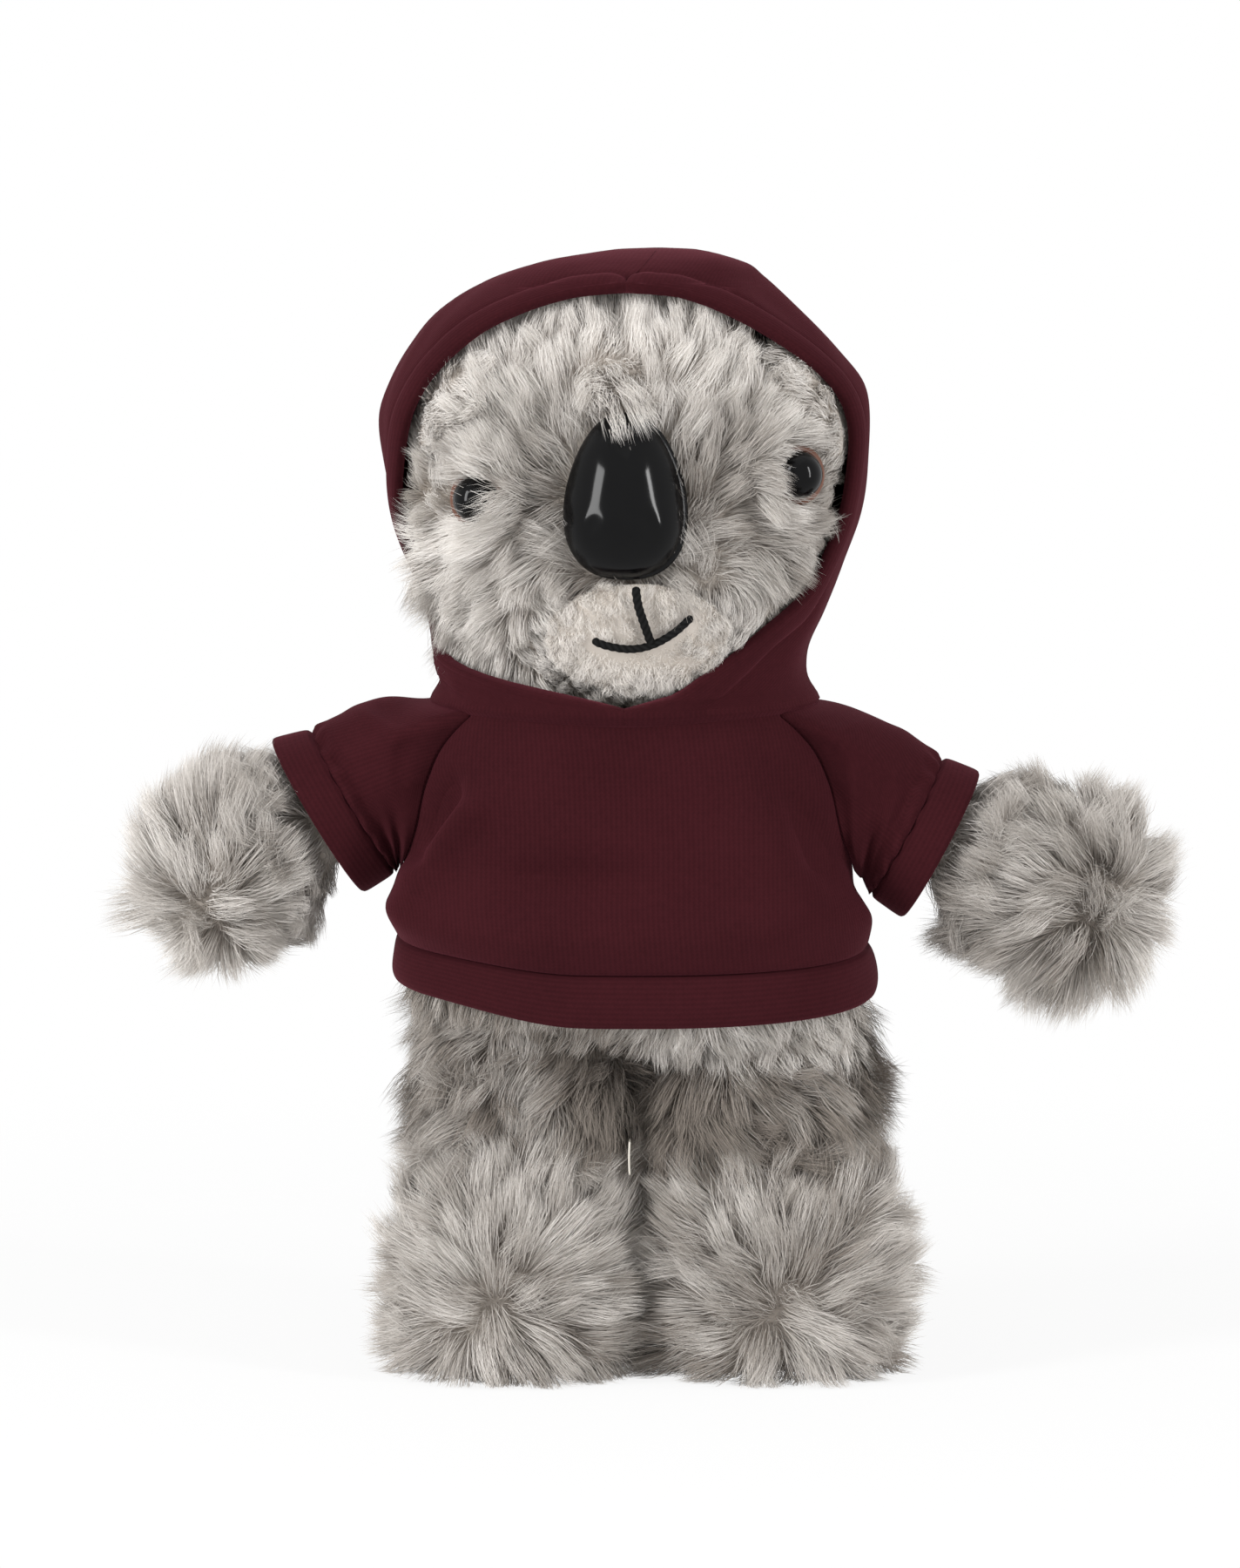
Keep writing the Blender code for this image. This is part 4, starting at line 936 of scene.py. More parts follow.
def dress_head(points, normals):
    """Pile shows in the opening of the hood. It grows away from the nose, up on the brow and out and back on
    the cheeks, lies half over the eyes, and is short and pale on the chin."""
    x, y, z = points.T
    off = x - HEAD_AXIS
    turn, edge = hood_edge(points)
    past = np.abs(turn) - edge
    growth = ramp(11.0, 4.0, past) * (edge > 0)
    rim = ramp(16.0, 3.0, -past) * (edge > 0)
    comb = stacked(off / 26, 0.1, (z - 150) / 24)
    comb[:, 2] += 1.1 * ramp(156, 178, z)
    comb[:, 2] -= 0.5 * ramp(160, 148, z) * ramp(14, 26, np.abs(off))
    comb += 0.3 * waves(points, 15.0, 3, 4, 6)
    reach = 0.9 + 0.16 * wave(points, 11.0, 5) + 0.3 * rim
    stand = 0.5 + 0.12 * wave(points, 9.0, 14) + 0.22 * rim
    pale = np.maximum(ramp(160, 176, z), 1.1 * ramp(-20, -34, x) * ramp(136, 150, z))
    pale = np.maximum(pale, 0.4 * ramp(156, 146, z) * ramp(-6, -18, x))
    # Painted light: the pile low on the front of the face is paler, to lift the shadow under the hood's rim, and it
    # grows thicker there.
    low = ramp(131, 122, z) * (y < 0)
    front, soft_front = y < 0, ramp(4.0, -2.0, y)
    # Painted shade: a dark streak between the brow and the folded ear, where the hood's lining lies in shade. The
    # pile is thinner there too.
    shaded_gap = gauss(x - 18.5 + 0.45 * (z - 184), 2.3) * ramp(176, 180, z) * soft_front
    shade = 0.35 + 0.54 * pale + 0.12 * wave(points, 10.0, 8) + 0.25 * low
    shade = shade + 0.25 * ramp(17, 23, x) * ramp(162, 170, z) * soft_front - 0.9 * shaded_gap
    growth = growth * (1 + 0.7 * low) * (1 - shaded_gap)
    for eye in EYES.values():
        side, (ex, ez), (start, long, lift) = eye["side"], eye["at"], eye["lid"]
        away, beside = np.hypot(x - ex, z - ez), (x - ex) * side
        growth = np.where(front, growth * ramp(EYE_RADIUS - 0.8, EYE_RADIUS + 0.2, away), growth)
        outer = ramp(-2.5, 3.0, beside + 0.4 * (ez - z)) * ramp(EYE_RADIUS + 4, EYE_RADIUS, away) * front
        inner = ramp(start, start - 3, beside) * ramp(EYE_RADIUS + 4.5, EYE_RADIUS + 1, away) * front
        growth = growth * (1 + 3.0 * inner)
        stand = mixed(stand, 0.66, inner)
        reach = mixed(reach * (1 - 0.6 * outer), long, inner)
        comb[:, 0] += 1.4 * side * inner
        comb[:, 2] += lift * inner
        # Painted light: the pile over the eye is paler, to offset the shade that it lies in.
        shade = shade + 0.3 * inner
    share = np.hypot((x - NOSE_CENTRE[0]) / (NOSE_HALF[0] + 0.3), (z - NOSE_CENTRE[1]) / (NOSE_HALF[1] + 0.2))
    growth = growth * np.where(front, ramp(0.84, 0.96, share), 1.0)
    share = np.hypot((x - MUZZLE_CENTRE[0]) / MUZZLE_HALF[0], (z - MUZZLE_CENTRE[1]) / MUZZLE_HALF[1])
    growth = growth * np.where(front, ramp(0.72, 0.9, share), 1.0)
    chin = ramp(1.7, 1.2, share) * np.maximum(ramp(140, 134, z), ramp(9, 13, x) * ramp(147, 142, z)) * front
    growth = growth * (1 + 0.6 * chin)
    reach, stand, shade = (mixed(value, end, chin) for value, end in ((reach, 0.42), (stand, 0.7), (shade, 0.92)))
    inward = stacked(MUZZLE_CENTRE[0] - x, 0, MUZZLE_CENTRE[1] - z)
    comb = unit(comb) * (1 - chin)[:, None] + unit(inward) * (chin * 0.8)[:, None]
    for tx, tz, wide, way, long in FACE_TUFTS:
        near = gauss(np.hypot(x - tx, z - tz), wide, 4) * (y < 12)
        comb = mixed(comb, unit(vector(*way)), near[:, None])
        reach = mixed(reach, long, near)
        stand = mixed(stand, 0.62 if tz < 160 else 0.82, near)
        shade = shade * (1 - 0.6 * near) + 0.85 * 0.6 * near
    stand = np.clip(stand, 0.25, 0.88)
    # On the left cheek the pile spills out of the opening
    spill = (ramp(-29, -34, x) * ramp(146, 141, z) > 0.5) & (np.abs(turn) < edge - 1)
    inside = kept_inside(points, normals, sizes().face_pile / MM, comb, reach, stand)
    return growth, comb, np.where(spill, reach, inside[0]), np.where(spill, stand, inside[1]), shade


def dress_ear(points, normals):
    """The tuft lies forward and inward, so that it stays inside the hood."""
    side = np.sign(np.mean(points[:, 0]))
    turn, edge = hood_edge(points)
    comb = stacked(side * -0.5, -0.8, 0.15 + 0.5 * wave(points, 7.0, 12))
    reach, stand = kept_inside(points, normals, 8.5, comb, 1 + 0.2 * wave(points, 8.0, 4),
                               np.full(len(points), 0.35))
    shade = (0.95 if side < 0 else 0.85) + 0.2 * wave(points, 7.0, 6)
    return ramp(10.0, 2.0, turn * side - edge), comb, reach, stand, shade


def arm_path(arm, count=200):
    """Points along the middle line of an arm and how far along each one is."""
    root, bend, paw = (in_plane(arm[key]) for key in ("root", "bend", "paw"))
    t = np.linspace(0, 1, count)[:, None]
    line = root * (1 - t) ** 2 + bend * (2 * t * (1 - t)) + paw * t**2
    return line, distances(line, 0)


def arm_frame(arm, along):
    """Middle points and directions this far along an arm, which runs on straight past both ends."""
    line, lengths = arm_path(arm)
    held = np.clip(along, 0, lengths[-1])
    centre, aim = (np.stack([np.interp(held, lengths, rows[:, i]) for i in range(3)], axis=-1)
                   for rows in (line, unit(np.gradient(line, axis=0))))
    aim = unit(aim)
    return centre + aim * (along - held)[:, None], aim


def arm_rings(arm, inset, columns=56):
    """Rings of an arm and its paw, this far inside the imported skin, with the two end points."""
    length = arm_path(arm)[1][-1]
    root, deep = ARM_ROOT_RADIUS, ARM_ROOT_DEPTH
    knots = [(0.0, root, deep)] + [(s * length, h, d) for s, h, d in ARM_GIRTH]
    knots.append((length, arm["paw_radius"], arm["paw_radius"]))
    ahead = np.linspace(0.0, length, 44)
    halves = [column_of(knots, i, ahead) - inset for i in (1, 2)]
    turn, back = np.radians(np.linspace(5, 86, 18)), np.radians(np.linspace(55, 6, 6))
    ball, small = arm["paw_radius"] - inset, root - inset
    along = np.concatenate([-small * np.sin(back), ahead, length + ball * np.sin(turn)])
    up_half = np.concatenate([small * np.cos(back), halves[0], ball * np.cos(turn)])
    deep_half = np.concatenate([(deep - inset) * np.cos(back), halves[1], ball * np.cos(turn)])
    centre, aim = arm_frame(arm, along)
    side = vector(0, 1, 0)
    up = np.cross(side, aim)
    angles = circle(columns)
    rings = (centre[:, None] + up[:, None] * (up_half[:, None] * np.cos(angles))[..., None]
             + side * (deep_half[:, None] * np.sin(angles))[..., None])
    ends = arm_frame(arm, np.array([-small * math.sin(math.radians(60)), length + ball]))[0]
    return rings, ends[0], ends[1]


def whorl_tuft(points, whorl):
    return np.exp(-(np.sum((points - whorl) ** 2, axis=-1) / WHORL_SPREAD))


def dress_arm(arm):
    def dress(points, normals):
        length = arm_path(arm)[1][-1]
        edge = math.hypot(arm["edge"][0] - arm["root"][0], arm["edge"][1] - arm["root"][1])
        root, paw = in_plane(arm["root"]), in_plane(arm["paw"])
        along = (points - root) @ unit(paw - root)
        whorl = nearest_front(points, normals, *arm["whorl"])
        tuft = whorl_tuft(points, whorl)
        comb = unit(points - whorl) + vector(0, 0.1, 0.1) + 0.45 * waves(points, 12.0, 21, 22, 23)
        comb = comb + (1.3 * tuft)[:, None] * waves(points, 4.5, 24, 25, 26)
        inner_low = ramp(0.25, 0.75, normals @ vector(0.8, 0, -0.6)) if arm["side"] < 0 else 0
        near_cuff = ramp(edge + 13.0, edge + 3.0, along)
        comb = mixed(unit(comb), unit(paw - root) * 1.6, near_cuff[:, None])
        reach = 0.98 + 0.2 * wave(points, 9.0, 31) - 0.15 * ramp(edge + 10.0, edge, along) - 0.5 * inner_low
        stand = 0.47 + 0.15 * wave(points, 8.0, 41) + 0.3 * tuft + 0.1 * near_cuff
        # Painted shade: the right arm is a little darker, on the less lit side.
        shade = 0.5 - 0.04 * arm["side"] + 0.2 * wave(points, 9.0, 17) + 0.1 * ramp(length, length + 16, along)
        # Painted shade under the cuff, on the lower side of the paw.
        under = ramp(edge + 11.0, edge + 1.0, along) * ramp(10.0, -6.0, points[:, 2] - arm["paw"][1])
        return ramp(edge - 1.5, edge + 2.0, along), comb, reach, stand, shade - 0.08 * under
    return dress


def leg_table(leg, inset):
    """Level slices of a leg from its sole to its round hip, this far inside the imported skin."""
    foot, thigh, side, inner = leg["foot"], leg["thigh"], leg["side"], leg["inner"]
    outlines = [
        (inset, foot - 2.6, 24.5, 11.0, 2.4), (max(3.0, inset + 1.5), foot - 0.6, 27.0, 13.0, 2.4),
        (10.0, foot, 28.4, 14.0, 2.3), (19.0, foot, 28.2, 14.4, 2.2), (28.0, foot - 1.2, 25.4, 14.8, 2.2),
        (34.0, foot - 4.0, 21.6, 15.2, 2.2), (39.0, thigh - 0.6, 18.4, 15.8, 2.2), (47.0, thigh, 18.8, 16.8, 2.1),
        (HIP_HEIGHT, thigh, HIP_RADIUS + 1.0, HIP_RADIUS - 1.0, 2.0),
    ]
    slices = []
    for z, outer, front, back, power in outlines:
        half = (outer - side * inner) / 2
        reach = (front + back) / 2 - inset
        slices.append((z, inner + side * half, (back - front) / 2, half - inset, reach, reach, power))
    top = slices[-1]
    for degrees in (24, 46, 66):
        lift, shrink = math.sin(math.radians(degrees)), math.cos(math.radians(degrees))
        slices.append((HIP_HEIGHT + top[4] * lift, *top[1:3], *(value * shrink for value in top[3:6]), 2.0))
    return slices


def leg_rings(leg, inset, columns=64):
    """Rings of a leg with its two end points. Smaller rings close the sole, where pile grows too."""
    slices = leg_table(leg, inset)
    sole, top = slices[0], slices[-1]
    heights = levels(sole[0], 8, top[0], 8, 56)
    rings = superellipse(slices, circle(columns, 360)[None, :], heights[:, None])
    middle = vector(sole[1], sole[2], sole[0])
    flat = [middle + (rings[0] - middle) * share for share in (0.25, 0.55, 0.82)]
    return np.concatenate([np.array(flat), rings]), middle, vector(top[1], top[2], top[0] + 0.6)


def dress_leg(leg):
    def dress(points, normals):
        x, z = points[:, 0], points[:, 2]
        side, outwards = leg["side"], leg["side"] * normals[:, 0]
        whorl = nearest_front(points, normals, *leg["whorl"])
        tuft = whorl_tuft(points, whorl)
        foot, under_hem = ramp(42.0, 34.0, z), ramp(58.0, 63.0, z)
        spread = unit(points - whorl) + vector(0, 0, 0.25)
        swirl = stacked(side * (0.5 + 0.5 * wave(points, 20.0, 54)), 0, -0.7 + 0.8 * wave(points, 17.0, 55))
        comb = mixed(swirl, spread, foot[:, None]) + 0.5 * waves(points, 13.0, 51, 52, 53)
        comb = comb + (1.3 * tuft)[:, None] * waves(points, 4.5, 56, 57, 58)
        down = stacked(0.9 * side * ramp(0.2, 0.7, outwards), 0, -0.8)
        comb = mixed(unit(comb), down, under_hem[:, None])
        growth = ramp(0, -3.0, z - 68.0 - left_rise(x)) * np.where(z < 3.2, 0.35, 1.0)
        inside, outside = (ramp(0.1, 0.6, way * outwards) * (1 - foot) for way in (-1, 1))
        reach = 0.85 + 0.15 * foot + 0.16 * wave(points, 9.0, 33) + 0.3 * inside + 0.35 * outside
        reach = reach * (1 - 0.4 * ramp(55.0, 61.0, z) * ramp(0.3, -0.3, normals[:, 1]))
        stand = (0.42 + 0.14 * wave(points, 8.0, 43)) * (1 - 0.5 * under_hem) + 0.3 * inside + 0.28 * outside
        stand = stand + 0.3 * tuft
        # The pale fringe under the hem on the right
        fringe = ramp(55.0, 58.0, z) * ramp(0.2, -0.2, normals[:, 1]) * (side > 0)
        comb = mixed(unit(comb), vector(0.25, 0, -1), fringe[:, None])
        reach, stand = mixed(reach, 0.5, fringe), stand * (1 - 0.2 * fringe)
        # Painted shade of the less lit right side: the right leg is darker, partly as its own tone, and the right
        # foot is a little darker too. The pale fringe is the plush's own colour.
        dark = leg["dark"] * (1 - foot) * (1 - fringe) - 0.45 * fringe
        # Painted shade in the crease above the foot, where bump() darkens the pile.
        shade = 0.24 + 0.2 * foot + 0.16 * wave(points, 9.0, 19) - dark - 0.16 * bump(41.0, 6.0, z)
        # Painted shade on the inner sides of the legs, where they face each other.
        shade = shade - 0.03 * side * foot - 0.3 * inside
        # Painted shade on the feet: darker on the sides that face each other and low down near the floor.
        shade = shade - 0.12 * foot * ramp(0.1, 0.6, -outwards) - 0.12 * foot * ramp(10, 2, z)
        return growth, comb, reach, stand, shade
    return dress


def torso_rings(inset, columns=72):
    heights = levels(TORSO_LOW, 72, BODY_TOP - 1.0, 14, 26)
    tuck = TUCK * ramp(TUCK_TOP, TORSO_LOW, heights)
    out = (-BAND_CLOTH - GAP - tuck - inset)[:, None]
    rings = body_form.point(circle(columns, 360)[None, :], heights[:, None], out)
    return rings, *rings.mean(axis=1)[[0, -1]]


def dress_torso(points, normals):
    x, y, z = points.T
    right, left = (ramp(-way, 3.0 * way, x) * (y < 0) for way in (1.0, -1.0))
    comb = stacked(0.25 * np.sign(x) + 0.4 * wave(points, 8.0, 10), 0, -1)
    return (ramp(0, -3.0, z - (69.0 + left_rise(x) + 1.0 * (y > 0))), comb,
            0.8 + 0.15 * wave(points, 9.0, 7) + 0.3 * right, 0.35 + 0.2 * right,
            0.34 + 0.15 * wave(points, 8.0, 9) + 0.2 * right - 0.2 * left)


def dress_muzzle(points, normals):
    """Short upright pile on the front of the panel, drawn in by the stitches of the mouth."""
    x, z = points[:, 0], points[:, 2]
    stitch = np.full(len(points), 99.0)
    for line in (MOUTH_SMILE, MOUTH_STROKE):
        path = curve(line, 40)
        stitch = np.minimum(stitch, np.hypot(x[:, None] - path[0], z[:, None] - path[1]).min(axis=-1))
    comb = stacked(0.5 * wave(points, 6.0, 61), 0, -0.4 + 0.5 * wave(points, 7.0, 62))
    reach = (0.9 + 0.2 * wave(points, 5.0, 63)) * (1 - 0.75 * ramp(2.2, 0.6, stitch))
    return ramp(-0.1, 0.3, -normals[:, 1]), comb, reach, 0.72, 0.5 + 0.2 * wave(points, 6.0, 64)


# Knit

def fold(points, path, width, height):
    """How high a soft ridge along a path stands at each point, seen from the front."""
    path = np.asarray(path, float)
    place = points[..., [0, 2]]
    best = np.zeros(points.shape[:-1])
    for a, b in zip(path[:-1], path[1:]):
        span = b[:2] - a[:2]
        share = np.clip(((place - a[:2]) @ span) / (span @ span), 0, 1)
        away = np.linalg.norm(place - (a[:2] + share[..., None] * span), axis=-1)
        best = np.maximum(best, (a[2] + (b[2] - a[2]) * share) * gauss(away, width))
    return best * height * (points[..., 1] < 5)


def left_rise(x):
    """How much higher the hem sits on the left."""
    return HEM_LEFT_RISE * ramp(-12, -40, x)


def drooped(points):
    """The hem hangs lower in front and sits higher at the back and on the left."""
    fade = 1 - ramp(HEM_LOW, ARMHOLE[0][0], points[..., 2])
    moved = points.copy()
    droop = np.where(points[..., 1] < 0, HEM_DROOP, HEM_BACK_RISE)
    moved[..., 2] += fade * (droop * points[..., 1] / HEM_DROOP_REACH + left_rise(points[..., 0]))
    return moved


# Folds of the front: points as x, height and strength along each, then width and height in millimetres
FRONT_FOLDS = (
    (((-26.0, 112.0, 0.2), (-8.0, 107.0, 0.9), (12.0, 100.5, 1.0), (32.0, 93.0, 0.3)), 4.6, -0.5),
    (((-30.0, 104.0, 0.3), (-12.0, 99.0, 1.0), (6.0, 93.5, 0.4)), 4.6, 0.4),
    (((-43.0, 84.0, 0.4), (-38.0, 94.0, 1.0), (-31.5, 101.0, 0.9), (-28.0, 105.0, 0.0)), 2.6, 1.7),
    (((-40.0, 93.0, 0.8), (-36.0, 103.0, 1.0), (-34.0, 110.0, 0.0)), 2.4, -1.5),
    (((-36.0, 91.0, 0.2), (-22.0, 89.5, 1.0), (-4.0, 90.5, 0.6), (4.0, 92.0, 0.0)), 4.2, -0.9),
    (((-40.0, 82.0, 0.5), (-20.0, 80.5, 1.0), (2.0, 81.5, 0.8), (24.0, 82.0, 0.9), (38.0, 84.0, 0.4)), 5.0, 0.9),
    (((20.0, 112.0, 0.2), (26.0, 103.0, 0.8), (31.0, 93.0, 1.0), (36.0, 84.0, 0.3)), 3.4, -0.9),
    (((30.0, 92.0, 0.0), (22.0, 96.0, 0.7), (10.0, 97.5, 0.0)), 4.0, 0.6),
)
FOLD_DEPTH = 2.6


def body_panel(front):
    """Outer and inner points of the front or back panel. It blouses over the hem band and has its folds
    pushed in. Under each sleeve it runs on, so that a raised arm shows cloth there."""
    rows, inside, beyond = 72, 120, 8
    middle = (inside + 2 * beyond) // 2
    heights = np.linspace(HEM_SEAM + GAP, BODY_TOP, rows)
    seam = column_of(ARMHOLE, 1, heights)
    step = np.arange(1, beyond + 1) / beyond
    across = np.concatenate([-1 - step[::-1], np.linspace(-1, 1, inside), 1 + step])
    under = np.maximum(np.abs(across) - 1, 0)
    room = UNDERARM_MIDDLE - seam
    underarm = np.clip(np.maximum(room * ramp(104, 97, heights), 4.0 * ramp(118, 112, heights)), 0.4, room)
    turns = np.clip(across, -1, 1)[None, :] * seam[:, None] + (np.sign(across) * under)[None, :] * underarm[:, None]
    if not front:
        turns = 180 - turns
    grid = heights[:, None] + 0 * turns
    out = 1.7 * bump(80.5, 6.5, grid) * (0.75 + 0.35 * np.sin(np.radians(turns * 5.0) + 0.6))
    bare = drooped(body_form.point(turns, grid))
    if front:
        for path, width, height in FRONT_FOLDS:
            out = out + FOLD_DEPTH * fold(bare, path, width, height)
    else:
        out = out + 0.8 * wave(bare * vector(0.6, 1, 1.4), 24.0, 71) * bump(95, 18, grid)
    edge = ramp(0.0, 0.06, 1 - np.abs(across))[None, :] * ramp(0, 1.2, grid - HEM_SEAM)
    out = out * edge - 0.2 * (1 - edge) - 1.1 * ramp(0, 0.3, under)[None, :]
    outer = drooped(body_form.point(turns, grid, out))
    inner = drooped(body_form.point(turns, grid, np.minimum(out, 0.6) * 0.3 - CLOTH))
    if not front:
        outer, inner = outer[:, ::-1], inner[:, ::-1]
    width = distances(outer, 1)
    height = np.broadcast_to(distances(outer, 0)[:, [middle]], width.shape)
    return outer, inner, np.stack([width - width[:, [middle]], height], axis=-1)


def band(outer, inner, side=1, column=0):
    """The two surfaces of a closed band, in the order that faces need on this side, and its texture
    coordinates, with the height read from one column."""
    if side < 0:
        outer, inner = outer[:, ::-1], inner[:, ::-1]
    rounds = np.concatenate([distances(outer, 1), np.zeros((outer.shape[0], 1))], axis=1)
    rounds[:, -1] = rounds[:, -2] + np.linalg.norm(outer[:, 0] - outer[:, -1], axis=-1)
    height = np.broadcast_to(distances(outer, 0)[:, [column]], rounds.shape)
    return outer, inner, np.stack([rounds, height], axis=-1)


def cuff_points(arm, centre, radius, angles):
    """Rings across an arm at the cuff. Centre and radius have one row a ring."""
    slope = math.radians(arm["slope"])
    up = vector(arm["side"] * math.sin(slope), 0, math.cos(slope))
    round_it = stacked(0.0, np.cos(angles), 0.0) + up * np.sin(angles)[:, None]
    return centre[:, None, :] + np.asarray(radius)[:, None, None] * round_it[None]


def armhole_loop(arm):
    """The closed seam where a sleeve is sewn on: up the front, round the neck and down the back."""
    rising = np.linspace(ARMHOLE[0][0], BODY_TOP, 60)
    seam = column_of(ARMHOLE, 1, rising) + SEAM_APART - ROOT_UNDER
    turn = seam[-1]
    parts = ((seam, rising), (np.linspace(turn, 180 - turn, 40)[1:-1], BODY_TOP), (180 - seam[::-1], rising[::-1]))
    return np.concatenate([body_form.point(arm["side"] * turns, heights) for turns, heights in parts])


def sleeve_grid(arm, columns=112, rows=56):
    """The bare sleeve from the armhole to the cuff, the way out at each point, and its rows and columns."""
    side = arm["side"]
    loop = armhole_loop(arm)
    centre = loop.mean(axis=0)
    angle = np.unwrap(np.arctan2(loop[:, 2] - centre[2], loop[:, 1] - centre[1]))
    if angle[-1] < angle[0]:
        loop, angle = loop[::-1], angle[::-1]
    angles = -math.pi + 2 * math.pi * (np.arange(columns) + 0.5) / columns
    wanted = angle[0] + np.mod(angles - angle[0], 2 * math.pi)
    closed_angle = np.append(angle, angle[0] + 2 * math.pi)
    closed_loop = np.concatenate([loop, loop[:1]])
    root = np.stack([np.interp(wanted, closed_angle, closed_loop[:, i]) for i in range(3)], axis=-1)
    slope = math.radians(arm["slope"])
    end_centre = in_plane(arm["seam"]) - vector(side * math.cos(slope), 0, -math.sin(slope)) * GAP
    end = cuff_points(arm, end_centre[None], [arm["seam_radius"]], angles)[0]
    share = np.linspace(0, 1, rows)
    full = SLEEVE_FULLNESS * np.sin(math.pi * share)[:, None] * np.maximum(np.sin(angles), 0)[None]
    grid = root[None] + (end - root)[None] * share[:, None, None] + stacked(side * full * 0.3, 0, full)
    return grid, unit(grid - grid.mean(axis=1, keepdims=True)), share, angles


# Creases of each sleeve: place along, angle from the front in degrees, their width and depth
SLEEVE_CREASES = {
    "left": ((0.42, -62, 0.12, 1.3), (0.72, -40, 0.09, 1.0), (0.9, 20, 0.05, 0.9), (0.55, 40, 0.1, -0.8)),
    "right": ((0.35, 10, 0.1, -0.7), (0.62, -30, 0.1, 1.0), (0.85, 10, 0.06, 0.9)),
}


def sleeve_surfaces(name, arm):
    grid, away, share, angles = sleeve_grid(arm)
    out = np.zeros(grid.shape[:2])
    # Degrees from the front, growing towards the top on both sleeves
    facing = np.degrees(angles)
    front_angle = np.where(facing > 0, 180 - facing, -180 - facing)
    for place, turn, width, depth in SLEEVE_CREASES[name]:
        along = share[:, None] - (place + 0.0016 * (front_angle - turn))[None]
        out -= 1.4 * depth * gauss(along, width) * gauss(front_angle - turn, 55)[None]
    out += 0.5 * wave(grid, 15.0, arm["sleeve_seed"]) * np.sin(math.pi * share)[:, None]
    # The last stretch gathers into the cuff
    gather = 0.35 * np.sin(angles * 17)[None] * bump(0.97, 0.12, share)[:, None]
    tuck = -0.5 * ramp(0.955, 1.0, share)[:, None] - 0.4 * ramp(0.03, 0.0, share)[:, None]
    out = out + gather + tuck
    inner = grid + away * (np.minimum(out, 0) * 0.4 - CLOTH)[..., None]
    return band(grid + away * out[..., None], inner, arm["side"], 10)


def cuff_surfaces(arm):
    """A doubled band with a soft roll at its edge and shallow ribs round the arm's way."""
    angles = circle(144)
    share = np.concatenate([[-0.22, -0.12], np.linspace(0, 1, 22)])
    seam, edge = in_plane(arm["seam"]), in_plane(arm["edge"])
    centre = seam[None] + (edge - seam)[None] * share[:, None]
    radius = arm["seam_radius"] + (arm["edge_radius"] - arm["seam_radius"]) * share
    swell = 0.5 * np.clip(1 - (2 * share - 1) ** 6, 0, 1) ** 0.5 - 0.25 - 1.0 * ramp(0.02, -0.1, share)
    outer = cuff_points(arm, centre, radius + swell, angles)
    ribs = 0.06 * np.cos(angles * 60)[None] * np.sin(math.pi * share)[:, None]
    outer = outer + unit(outer - centre[:, None]) * ribs[..., None]
    return band(outer, cuff_points(arm, centre, radius - BAND_CLOTH, angles), arm["side"])


def hem_surfaces():
    turns = circle(240, 360)
    heights = np.concatenate([np.linspace(HEM_LOW, HEM_SEAM, 26), HEM_SEAM + np.array([0.8, 1.6])])
    share = (heights - HEM_LOW) / (HEM_SEAM - HEM_LOW)
    swell = HEM_SWELL + 0.9 * np.clip(1 - (2 * share - 1) ** 4, 0, 1) ** 0.5 - 0.6 - 1.4 * ramp(0.98, 1.1, share)
    uneven = 0.35 * np.sin(np.radians(turns * 4 + 30))[None] + 0.2 * np.sin(np.radians(turns * 9))[None]
    out = swell[:, None] + uneven * np.sin(math.pi * share)[:, None]
    return band(*(drooped(body_form.point(turns[None], heights[:, None], depth))
                  for depth in (out, HEM_SWELL - BAND_CLOTH + 0 * out)))


